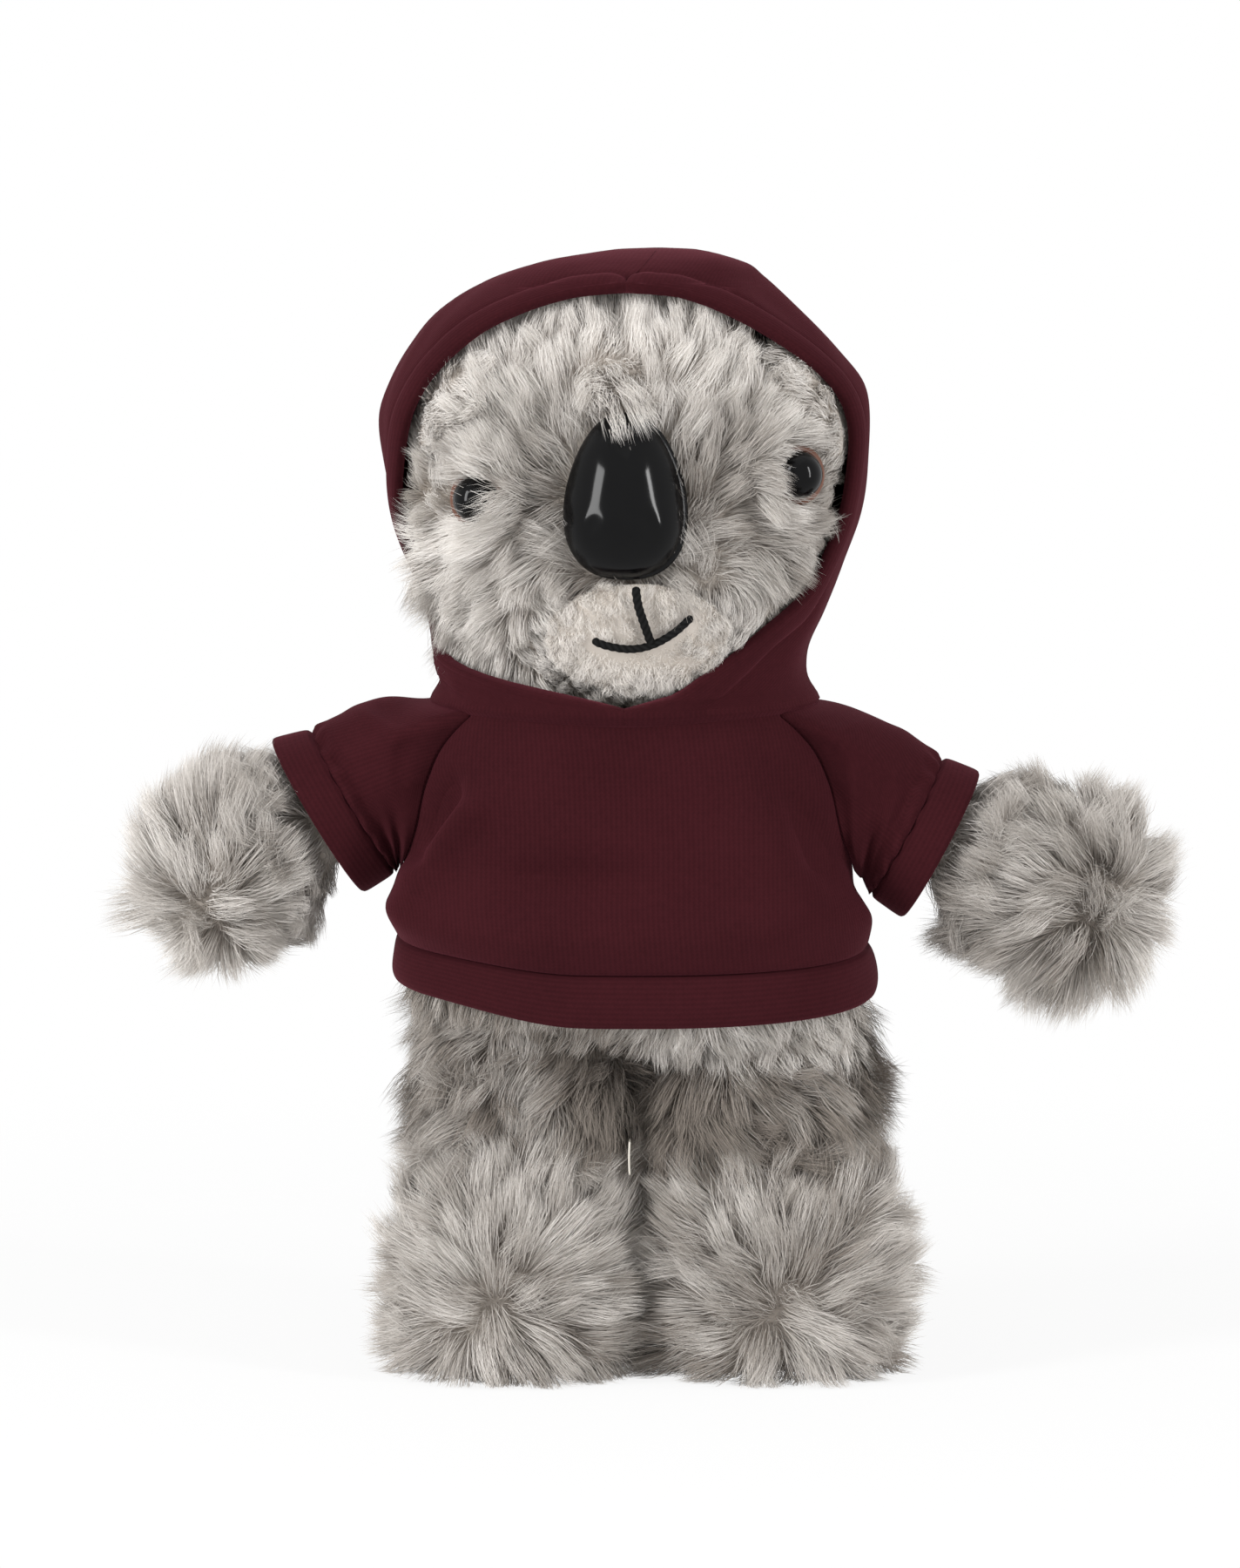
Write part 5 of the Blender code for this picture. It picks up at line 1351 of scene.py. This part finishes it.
def hood_surfaces(arm):
    """Half of the hood. Its edge is a rolled hem, a groove of stitching behind it, then soft folds."""
    side = arm["side"]
    heights = levels(HOOD[0][0], CROWN, HOOD[-1][0], 78, 33)
    wide = np.degrees(-0.08 / column_of(HOOD, 3, heights))
    opened = (heights > HOOD_OPENING[0][0]) & (heights < HOOD_OPENING[-1][0])
    edge = np.maximum(np.where(opened, column_of(HOOD_OPENING, 1 if side < 0 else 2, heights), wide), wide)
    step = np.linspace(0, 1, 84) ** 1.35
    turns = side * (edge[:, None] + (180 - wide - edge)[:, None] * step[None])
    grid = heights[:, None] + 0 * turns
    bare = hood_form.point(turns, grid)
    away = distances(bare, 1)
    from_edge = np.linalg.norm(bare[:, :, None] - bare[opened, 0], axis=-1).min(axis=-1)
    rim = np.sqrt(np.clip(1 - ((from_edge - 2.4) / 2.6) ** 2, 0, 1)) * 0.9
    groove = -0.2 * gauss(from_edge - 5.4, 0.7)
    soft = 0.55 * wave(bare * vector(1, 1, 0.8), 20.0, arm["hood_seed"]) * ramp(5, 16, away)
    seam = -0.35 * gauss(distances(bare[:, ::-1], 1)[:, ::-1], 0.8)
    flare = 2.2 * ramp(126.0, 119.0, grid) ** 2
    out = (rim + groove + soft + seam) * ramp(199.9, 197.0, grid) * ramp(119.6, 123.0, grid) + flare
    outer = hood_form.point(turns, grid, out - 0.25)
    inner = hood_form.point(turns, grid, flare - CLOTH - 0.3 * rim)
    # The last row closes the crown, and the lowest rows go down inside the neck of the sweatshirt
    crown = (hood_form.point(0.0, heights[-1]) + hood_form.point(180.0, heights[-1])) / 2
    share = np.linspace(1.0, 0.25, 4)[:, None]
    surfaces = []
    for surface, depth in ((outer, 0.25), (inner, CLOTH)):
        last = crown * vector(1, 1, 0) + surface[-1:] * vector(0.02, 0.02, 1) - crown * vector(0.02, 0.02, 0)
        tuck = hood_form.point(turns[:1] + 0 * share, heights[0] + 0 * share, flare[:1] - depth - 2.6 * share)
        surfaces.append(np.concatenate([tuck - vector(0, 0, 3.0) * share[..., None], surface, last]))
    surfaces.append(np.concatenate([np.repeat(away[:1], 4, axis=0), away, away[-1:]]))
    outer, inner, away = (each[:, ::-1] for each in surfaces) if side < 0 else surfaces
    height = np.broadcast_to(distances(outer, 0)[:, [away.shape[1] // 2]], away.shape)
    return outer, inner, np.stack([away * side, height], axis=-1)


# Face

def on_head(place, out=0.0):
    return head_form.front(np.array(place[0]), np.array(place[1]), out)


def head_pad(centre, halves, lift, rows, columns, taper=0.0, squareness=1.0, clear=2 * GAP):
    """A closed pad on the front of the head: rings from its middle at the back, round its edge, to its
    middle in front. lift gives how far the front stands off, from the share of the radius and the angle."""
    angles = circle(columns)

    def rings(shares, off):
        across = np.sign(np.cos(angles)) * np.abs(np.cos(angles)) ** squareness
        x = centre[0] + halves[0] * shares[:, None] * ((1 - taper * np.sin(angles)) * across)[None]
        z = centre[1] + halves[1] * shares[:, None] * np.sin(angles)[None]
        points = head_form.front(x, z)
        points[..., 1] -= clear + off
        return points

    front = 1 - np.linspace(0, 1, rows) ** 1.3 * 0.97
    grid = np.concatenate([rings(np.linspace(0.15, 1.0, 6), 0.0), rings(front, lift(front[:, None], angles[None]))])
    return closed_loft(grid, on_head(centre) - vector(0, clear, 0), grid[-1].mean(axis=0))


def nose_lift(share, angle):
    """A flat flange round a high dome, with two faint nostril hollows."""
    across, up = share * np.cos(angle), share * np.sin(angle)
    inside = np.hypot(across + 0.05, up) / 0.97
    dome = np.clip(1 - np.clip(inside, 0, 1) ** 1.8, 0, 1) ** 0.7
    flange = 0.9 * np.clip(1 - share**16, 0, 1) ** 0.5 + 0.1
    height = flange + (NOSE_RISE - 1.2) * dome * (1 - 0.16 * up)
    for x in (-0.45, 0.31):
        away = np.hypot((across - x) / 0.15, (up + 0.32) / 0.17)
        height = height - 0.3 * np.exp(-(away**2)) * np.clip(dome * 2, 0, 1)
    return height


def muzzle_lift(share, angle):
    return MUZZLE_THICKNESS * np.clip(1 - share**6, 0, 1) ** 0.5 - 0.6 + 0 * angle


def turned(profile, columns, base, aim):
    """Points and faces of a profile of (radius, height) pairs turned about an axis, closed at both ends,
    with the row of the profile that each face starts from."""
    aim = unit(aim)
    first = unit(np.cross(aim, vector(0, 0, 1)))
    second = np.cross(aim, first)
    angles = circle(columns)
    profile = np.asarray(profile, float)
    radius, height = profile[1:-1, 0], profile[1:-1, 1]
    round_it = np.cos(angles)[:, None] * first + np.sin(angles)[:, None] * second
    rings = base + radius[:, None, None] * round_it[None] + height[:, None, None] * aim
    points, faces = closed_loft(rings, base + aim * profile[0, 1], base + aim * profile[-1, 1])
    return points, faces, [i // columns for i in range(columns * (len(radius) - 1))] + [0, len(radius)] * columns


def thread_tube(places, radius, columns=14, steps=64):
    """A thread laid on the muzzle through these places, with rounded ends. Its texture coordinates are the
    angle round it and the millimetres along it."""
    path = head_form.front(*curve(places, steps))
    path[:, 1] -= 4 * GAP + MUZZLE_THICKNESS + THREAD_RADIUS - 0.4
    ahead = unit(np.gradient(path, axis=0))
    across = unit(np.cross(ahead, vector(0, -1, 0)))
    out = np.cross(across, ahead)
    angles, along = circle(columns), distances(path, 0)
    ends = np.minimum(along, along[-1] - along) / radius
    thick = radius * np.sqrt(np.clip(1 - (1 - np.clip(ends, 0.02, 1)) ** 2, 0, 1))
    plies = 1 + 0.09 * np.cos(angles[None] * 3 + along[:, None] * 5)
    rings = path[:, None] + (thick[:, None] * plies)[..., None] * (
        np.cos(angles)[None, :, None] * across[:, None] + np.sin(angles)[None, :, None] * out[:, None])
    points, faces = closed_loft(rings, path[0], path[-1])
    quads, at = grid_faces(steps, columns, True)
    corners = np.stack([2 * math.pi * at[..., 1] / columns, along[at[..., 0]]], axis=-1)
    ends_uv = np.zeros((len(faces) - len(quads), 3, 2))
    ends_uv[1::2, :, 1] = along[-1]
    return points, faces, np.concatenate([corners.reshape(-1, 2), ends_uv.reshape(-1, 2)])


# Settings

def length_setting(name, description, default, least=0.001):
    return bpy.props.FloatProperty(name=name, description=description, default=default, min=least, unit="LENGTH")


def colour_setting(name, description, default):
    return bpy.props.FloatVectorProperty(name=name, description=description, default=default, size=3,
                                         subtype="COLOR", min=0, max=1)


class KoalaSizes(bpy.types.PropertyGroup):
    """Sizes of the pile and the knit."""

    paw_pile: length_setting("Paw pile", "Length of the pile on the paws and feet", 0.0125)
    leg_pile: length_setting("Leg pile", "Length of the pile on the legs", 0.0115)
    face_pile: length_setting("Face pile", "Length of the pile on the head", 0.0100)
    muzzle_pile: length_setting("Muzzle pile", "Length of the pile on the muzzle", 0.0028, 0.0005)
    wale: length_setting("Wale", "Width of one wale of the knit", 0.0009, 0.0002)
    course: length_setting("Course", "Height of one course of the knit", 0.0008, 0.0002)
    density: bpy.props.FloatProperty(
        name="Pile density", description="Share of the full number of strands", default=1.0, min=0.05, max=1.5,
        subtype="FACTOR")


class KoalaColours(bpy.types.PropertyGroup):
    """Colours of the plush, the knit and the moulded pieces."""

    grey: colour_setting("Grey plush", "Darker tone of the plush", (0.24, 0.206, 0.176))
    pale: colour_setting("Pale plush", "Paler tone of the plush", (0.86, 0.825, 0.785))
    cream: colour_setting("Cream plush", "Plush of the muzzle", (0.76, 0.715, 0.665))
    knit: colour_setting("Knit", "Yarn of the sweatshirt", (0.033, 0.0063, 0.0085))
    moulded: colour_setting("Moulded black", "Plastic of the nose and the pupils", (0.0015, 0.0015, 0.0018))
    iris: colour_setting("Eye rim", "Brown rim of the eyes", (0.15, 0.068, 0.045))


def sizes():
    return bpy.context.scene.koala_sizes


def colours():
    return bpy.context.scene.koala_colours


def made_once(name, maker, *given):
    return bpy.data.materials.get(name) or maker(name, *given)


def pile_of(name):
    """The material of the grey or the cream plush."""
    chosen = colours()
    if name == "cream_plush":
        given = tones(chosen.cream, 0.66, 1.1), tones(chosen.pale, 0.75, 1.1)
    else:
        given = tones(chosen.grey), tones(chosen.pale, 0.72, 1.1)
    return made_once(f"{name}_pile", plush_material, *given)


def carry(piece, body, slot, *nodes):
    """The piece moves with a body and stands for these nodes. The slot is not used."""
    if body:
        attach(piece, body)
    if nodes:
        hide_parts(*nodes)
    return piece


def plush(name, body, node, solid, dress, density, pile, width, fill, slot="grey_plush", **settings):
    """A padded piece of plush that stands for a node."""
    strands = density * sizes().density * 1.0
    piece = grow(f"{name}_plush", solid, pile_of(slot), dress, strands, pile, width, **settings)
    carry(piece, body, slot, node)


def cloth(name, body, surfaces, wrap=False, rib=False):
    """A sheet of knit that stands for the node of its name. The size of its flat pattern piece is worked out from
    its own rows but is not kept."""
    outer, inner, uv = surfaces
    material = made_once("burgundy_rib" if rib else "burgundy_jersey", knit_material, tuple(colours().knit), rib)
    piece = carry(shell(f"{name}_knit", outer, inner, uv, material, wrap), body, "burgundy_knit", name)
    rows = distances(outer, 1)[:, -1]
    if wrap:
        rows = rows + np.linalg.norm(outer[:, 0] - outer[:, -1], axis=-1)
    ahead, here = (np.roll(outer, -1, axis=1), outer) if wrap else (outer[:, 1:], outer[:, :-1])
    area = 0.5 * np.linalg.norm(np.cross(ahead[1:] - here[:-1], here[1:] - ahead[:-1]), axis=-1).sum()
    return piece


class KOALA_OT_head(bpy.types.Operator):
    """Make the plush of the head and the two folded ears."""

    bl_idname = "koala.head"
    bl_label = "Head and ears"

    def execute(self, context):
        low, high = HEAD[0][0], HEAD[-1][0]
        heights = levels(low, CROWN, high, 84, 12)[:, None]
        turns = circle(144, 360)[None]
        flat = head_form.point(turns, heights, -BACKING)
        rings = head_form.point(turns, heights, eye_mounds(flat) + rim_lift(flat) - BACKING)
        solid = closed_loft(rings, vector(-4.2, 0, low + 0.6), vector(-3.0, 0, high - BACKING + 0.2))
        plush("head", "head", "head_skin", solid, dress_head, 9.5, sizes().face_pile / MM, 0.13, 0.85,
              scatter=0.26, droop=0.05, spacing=2.6, strength=0.6, seed=3)
        for name, arm in ARMS.items():
            self.ear(f"ear_{name}", arm["side"])
        return {"FINISHED"}

    def ear(self, name, side):
        angles = circle(48)

        def ring(share, off):
            turn = side * EAR_TURN + EAR_HALF[0] * share * np.cos(angles)
            return head_form.point(turn, EAR_HEIGHT + EAR_HALF[1] * share * np.sin(angles), 2 * GAP + off)

        shares = np.linspace(0.12, 1.0, 10)
        crown = 0.8 + (EAR_THICKNESS - 0.8) * (1 - shares**3)
        rings = np.array([ring(share, 0.0) for share in shares]
                         + [ring(share, lift) for share, lift in zip(shares[::-1], crown[::-1])])
        solid = closed_loft(rings, rings[0].mean(axis=0), rings[-1].mean(axis=0))
        plush(name, "head", name, solid, dress_ear, 9.0, 7.0, 0.14, 0.3, scatter=0.26, droop=0.0, spacing=2.6,
              strength=0.5, seed=5)


class KOALA_OT_face(bpy.types.Operator):
    """Make the eyes, the nose, the muzzle and the stitched mouth."""

    bl_idname = "koala.face"
    bl_label = "Face"

    def execute(self, context):
        black = tuple(colours().moulded)
        gloss = made_once("black_gloss", plastic_material, black, 0.1)
        satin = made_once("black_satin", plastic_material, black, 0.22)
        rim = made_once("brown_rim", plastic_material, tuple(colours().iris), 0.3)
        for name, eye in EYES.items():
            self.eye(f"eye_{name}", eye["at"], [gloss, rim])
        self.nose([gloss, satin])
        self.muzzle()
        return {"FINISHED"}

    def eye(self, name, place, materials):
        surface = on_head(place)
        out = unit(unit(on_head(place, 1.0) - surface) + vector(0, -EYE_FORWARD, 0))
        pupil = EYE_RADIUS - EYE_RIM_WIDE
        profile = [(0, -STEM_LENGTH), (EYE_STEM, -STEM_LENGTH), (EYE_STEM, -0.8), (EYE_RADIUS - 0.5, -0.8),
                   (EYE_RADIUS, 0.2), (EYE_RADIUS, 0.5), (EYE_RADIUS - 0.15, 0.75), (pupil + 0.25, 1.35),
                   (pupil + 0.04, 1.1)]
        rim_rows = len(profile) - 2
        profile += [(pupil * math.cos(a), 1.0 + (EYE_DOME - 0.1) * math.sin(a))
                    for a in np.radians(np.linspace(0, 88, 26))]
        profile.append((0, EYE_RIM + EYE_DOME))
        points, faces, rows = turned(profile, 72, surface + out * GAP * 1.5, out)
        slots = [int(row < rim_rows) for row in rows]
        carry(outward(build(f"{name}_moulded", points, faces, materials, slots)), "head", "black_plastic", name)

    def nose(self, materials):
        points, faces = head_pad(NOSE_CENTRE, NOSE_HALF, nose_lift, 90, 144, NOSE_TAPER, NOSE_SQUARENESS)
        count = len(points)
        stem, stem_faces, _ = turned([(0, 0), (NOSE_STEM, 0), (NOSE_STEM, STEM_LENGTH), (0, STEM_LENGTH)], 24,
                                     on_head(NOSE_CENTRE) + vector(0, -0.9, 0), vector(0, 1, 0))
        x = (points[:, 0] - NOSE_CENTRE[0]) / NOSE_HALF[0]
        z = (points[:, 2] - NOSE_CENTRE[1]) / NOSE_HALF[1]
        narrow = 1 - NOSE_TAPER * z / np.maximum(np.hypot(x, z), 0.2)
        share = np.hypot(np.sign(x) * np.abs(x / narrow) ** 1.1, z)
        slots = [int(np.mean(share[face]) >= NOSE_SATIN) for face in faces] + [1] * len(stem_faces)
        faces = faces + [[i + count for i in face] for face in stem_faces]
        nose = outward(build("nose_moulded", np.concatenate([points, stem]), faces, materials, slots))
        carry(nose, "head", "black_plastic", "nose")

    def muzzle(self):
        plush("muzzle", "head", "muzzle_panel", head_pad(MUZZLE_CENTRE, MUZZLE_HALF, muzzle_lift, 26, 96),
              dress_muzzle, 30.0, sizes().muzzle_pile / MM, 0.12, 0.5, slot="cream_plush", scatter=0.45,
              droop=0.1, curl=0.5, spacing=2.0, strength=0.35, seed=7)
        thread = made_once("black_thread_twist", thread_material, (0.006, 0.006, 0.006))
        smile, stroke = (thread_tube(line, THREAD_RADIUS * thick)
                         for line, thick in ((MOUTH_SMILE, 1.05), (MOUTH_STROKE, 1.15)))
        points, uv = (np.concatenate([smile[i], stroke[i]]) for i in (0, 2))
        faces = smile[1] + [[i + len(smile[0]) for i in face] for face in stroke[1]]
        mouth = outward(build("mouth_thread", points, faces, [thread], None, uv))
        carry(mouth, "head", "black_thread", "mouth_stitch")


class KOALA_OT_arms(bpy.types.Operator):
    """Make the plush arms with their paws."""

    bl_idname = "koala.arms"
    bl_label = "Arms"

    def execute(self, context):
        for name, arm in ARMS.items():
            plush(f"arm_{name}", f"arm_{name}", f"arm_skin_{name}", closed_loft(*arm_rings(arm, BACKING)),
                  dress_arm(arm), 11.0, sizes().paw_pile / MM, 0.135, 0.8, scatter=0.26, droop=0.12,
                  spacing=2.5, strength=0.6, seed=arm["pile_seed"])
        return {"FINISHED"}


class KOALA_OT_legs(bpy.types.Operator):
    """Make the plush legs with their feet."""

    bl_idname = "koala.legs"
    bl_label = "Legs"

    def execute(self, context):
        for name, leg in LEGS.items():
            plush(f"leg_{name}", f"leg_{name}", f"leg_skin_{name}", closed_loft(*leg_rings(leg, BACKING)),
                  dress_leg(leg), 8.4, sizes().leg_pile / MM, 0.14, 0.8, scatter=0.27, droop=0.12,
                  spacing=2.7, strength=0.58, seed=leg["pile_seed"])
        return {"FINISHED"}


class KOALA_OT_torso(bpy.types.Operator):
    """Make the plush of the body, which shows under the hem."""

    bl_idname = "koala.torso"
    bl_label = "Body"

    def execute(self, context):
        plush("torso", "torso", "torso_skin", closed_loft(*torso_rings(0.6)), dress_torso, 5.0, 8.5, 0.15, 0.8,
              spacing=2.6, seed=21)
        return {"FINISHED"}


class KOALA_OT_filling(bpy.types.Operator):
    """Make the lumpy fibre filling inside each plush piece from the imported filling."""

    bl_idname = "koala.filling"
    bl_label = "Filling"

    def execute(self, context):
        fibre = made_once("filling_fibre", fibre_material)
        for node, held in frame["nodes"].items():
            if "stuffing" not in node:
                continue
            merged = bmesh.new()
            merged.from_mesh(held.data)
            bmesh.ops.remove_doubles(merged, verts=merged.verts, dist=1e-6)
            mesh = bpy.data.meshes.new(node + "_fibre")
            merged.to_mesh(mesh)
            merged.free()
            mesh.materials.clear()
            mesh.materials.append(fibre)
            piece = placed(node + "_fibre", mesh)
            voxels = piece.modifiers.new("voxels", "REMESH")
            voxels.mode = "VOXEL"
            voxels.voxel_size = FILLING_VOXEL * MM
            piece.modifiers.new("relax", "SMOOTH").iterations = 3
            settled(piece)
            place, normal = read(piece.data.vertices, "co"), read(piece.data.vertex_normals, "vector")
            sink = (0.55 + 0.35 * wave(place / MM, 9.0, 77)) * MM
            piece.data.vertices.foreach_set("co", (place - normal * sink[:, None]).ravel())
            piece.data.update()
            carry(piece, held["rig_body"], "white_fibre", node)
        return {"FINISHED"}


class KOALA_OT_sweatshirt(bpy.types.Operator):
    """Make the front and back panel and the hem band."""

    bl_idname = "koala.sweatshirt"
    bl_label = "Sweatshirt body"

    def execute(self, context):
        for name, front in (("hoodie_front", True), ("hoodie_back", False)):
            cloth(name, "torso", body_panel(front))
        cloth("hem_band", "torso", hem_surfaces(), wrap=True, rib=True)
        return {"FINISHED"}


class KOALA_OT_sleeves(bpy.types.Operator):
    """Make the raglan sleeves and the cuffs."""

    bl_idname = "koala.sleeves"
    bl_label = "Sleeves and cuffs"

    def execute(self, context):
        for name, arm in ARMS.items():
            sleeve = cloth(f"sleeve_{name}", None, sleeve_surfaces(name, arm),
                           wrap=True)
            start, end = in_plane(arm["root"]) * MM, in_plane(arm["seam"]) * MM
            start = start + (end - start) * 0.1
            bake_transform(sleeve, "torso", f"arm_{name}", start=tuple(start), end=tuple(end))
            cloth(f"cuff_{name}", f"arm_{name}", cuff_surfaces(arm),
                  wrap=True, rib=True)
        return {"FINISHED"}


class KOALA_OT_hood(bpy.types.Operator):
    """Make the two halves of the hood."""

    bl_idname = "koala.hood"
    bl_label = "Hood"

    def execute(self, context):
        for name, arm in ARMS.items():
            cloth(f"hood_{name}", "head", hood_surfaces(arm))
        return {"FINISHED"}


class KOALA_OT_fittings(bpy.types.Operator):
    """Make the blank sewn-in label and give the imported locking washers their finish."""

    bl_idname = "koala.fittings"
    bl_label = "Label and washers"

    def execute(self, context):
        y, z = np.meshgrid(*(np.linspace(LABEL_LOW[i], LABEL_HIGH[i], count) for i, count in ((1, 8), (2, 14))))
        bend = 0.1 * np.sin((z - LABEL_LOW[2]) / (LABEL_HIGH[2] - LABEL_LOW[2]) * math.pi)
        left, right = (stacked(x - bend, y, z) for x in (LABEL_LOW[0], LABEL_HIGH[0]))
        tape = made_once("label_weave", tape_material)
        carry(shell("label_tape", left, right, stacked(y, z), tape), "leg_left", "label_tape", "care_label")
        white = made_once("washer_white", plastic_material, (0.75, 0.75, 0.72), 0.4)
        for node, held in frame["nodes"].items():
            if "washer" in node:
                held.data.materials.clear()
                held.data.materials.append(white)
        return {"FINISHED"}


class KOALA_OT_stage(bpy.types.Operator):
    """Make the floor, the lamps, the world and the camera."""

    bl_idname = "koala.stage"
    bl_label = "Stage"

    def execute(self, context):
        scene = context.scene
        self.floor()
        for name, place, (width, height), power in LAMPS:
            data = bpy.data.lights.new(name, "AREA")
            data.shape = "RECTANGLE"
            data.size, data.size_y, data.energy = width, height, power
            held = placed(name, data)
            held.location = place
            held.rotation_euler = (Vector(place) - Vector(LAMP_AIM)).to_track_quat("Z", "Y").to_euler()
        world = bpy.data.worlds.new("studio")
        world.use_nodes = True
        scene.world = world
        g = Graph(world.node_tree)
        background = world.node_tree.nodes["Background"]
        background.inputs[0].default_value = (1, 1, 1, 1)
        strength = g.math("MULTIPLY_ADD", g.background_rays(), 1 - WORLD_LIGHT, WORLD_LIGHT)
        g.tree.links.new(strength, background.inputs[1])
        camera = bpy.data.cameras.new("camera")
        camera.lens = VIEW_LENS
        camera.clip_end = VIEW_REACH
        held = placed("camera", camera)
        tilt = math.radians(VIEW_ELEVATION)
        back, up = Vector((0, -math.cos(tilt), math.sin(tilt))), Vector((0, math.sin(tilt), math.cos(tilt)))
        middle = Vector((VIEW_X, 0, VIEW_HEIGHT))
        held.location = (middle + back * VIEW_DISTANCE + up * VIEW_RAISE) * MM
        held.rotation_euler = (math.pi / 2 - tilt, 0, 0)
        scene.camera = held
        scene.view_settings.view_transform = "Standard"
        return {"FINISHED"}

    def floor(self):
        """A disc that fades out into the white round it, and keeps the soft shadow near the feet."""
        angles = circle(64)
        points = stacked(np.cos(angles) * FLOOR_RADIUS, np.sin(angles) * FLOOR_RADIUS, 0)
        g = Finish("floor_white", 0.9, specular=0.0)
        g.inputs["Base Color"].default_value = FLOOR_TONE
        light = g.out("ShaderNodeEmission", {0: (1, 1, 1, 1), 1: 1.0})
        seen = g.times(g.background_rays(), FLOOR_GLOW)
        lit = g.out("ShaderNodeMixShader", {0: seen, 1: g.tree.nodes["Principled BSDF"].outputs[0], 2: light})
        away = g.math("DIVIDE", g.vector("LENGTH", g.place()), FLOOR_RADIUS * MM)
        start, end = FLOOR_FADE
        fade = g.out("ShaderNodeMapRange", {0: away, 1: start, 2: end}, interpolation_type="SMOOTHSTEP")
        shown = g.out("ShaderNodeMixShader", {0: fade, 1: lit, 2: g.out("ShaderNodeBsdfTransparent")})
        g.tree.links.new(shown, g.tree.nodes["Material Output"].inputs[0])
        build("floor", points, [tuple(range(len(angles)))], [g.material])


OPERATORS = (
    KOALA_OT_head, KOALA_OT_face, KOALA_OT_arms, KOALA_OT_legs, KOALA_OT_torso, KOALA_OT_filling,
    KOALA_OT_sweatshirt, KOALA_OT_sleeves, KOALA_OT_hood, KOALA_OT_fittings, KOALA_OT_stage,
)


class KOALA_PT_panel(bpy.types.Panel):
    """Lists the pieces of the toy and the sizes and colours that they are made with."""

    bl_idname = "KOALA_PT_panel"
    bl_label = "Plush koala"
    bl_space_type = "VIEW_3D"
    bl_region_type = "UI"
    bl_category = "Plush koala"

    def draw(self, context):
        for group in (context.scene.koala_sizes, context.scene.koala_colours):
            for key in group.__annotations__:
                self.layout.prop(group, key)
        for operator in OPERATORS:
            self.layout.operator(operator.bl_idname)


CLASSES = (KoalaSizes, KoalaColours, *OPERATORS, KOALA_PT_panel)


def register():
    for each in CLASSES:
        bpy.utils.register_class(each)
    bpy.types.Scene.koala_sizes = bpy.props.PointerProperty(type=KoalaSizes)
    bpy.types.Scene.koala_colours = bpy.props.PointerProperty(type=KoalaColours)


def unregister():
    del bpy.types.Scene.koala_colours
    del bpy.types.Scene.koala_sizes
    for each in reversed(CLASSES):
        bpy.utils.unregister_class(each)


def main():
    register()
    for operator in OPERATORS:
        group, name = operator.bl_idname.split(".")
        getattr(getattr(bpy.ops, group), name)()


if __name__ == "__main__":
    main()
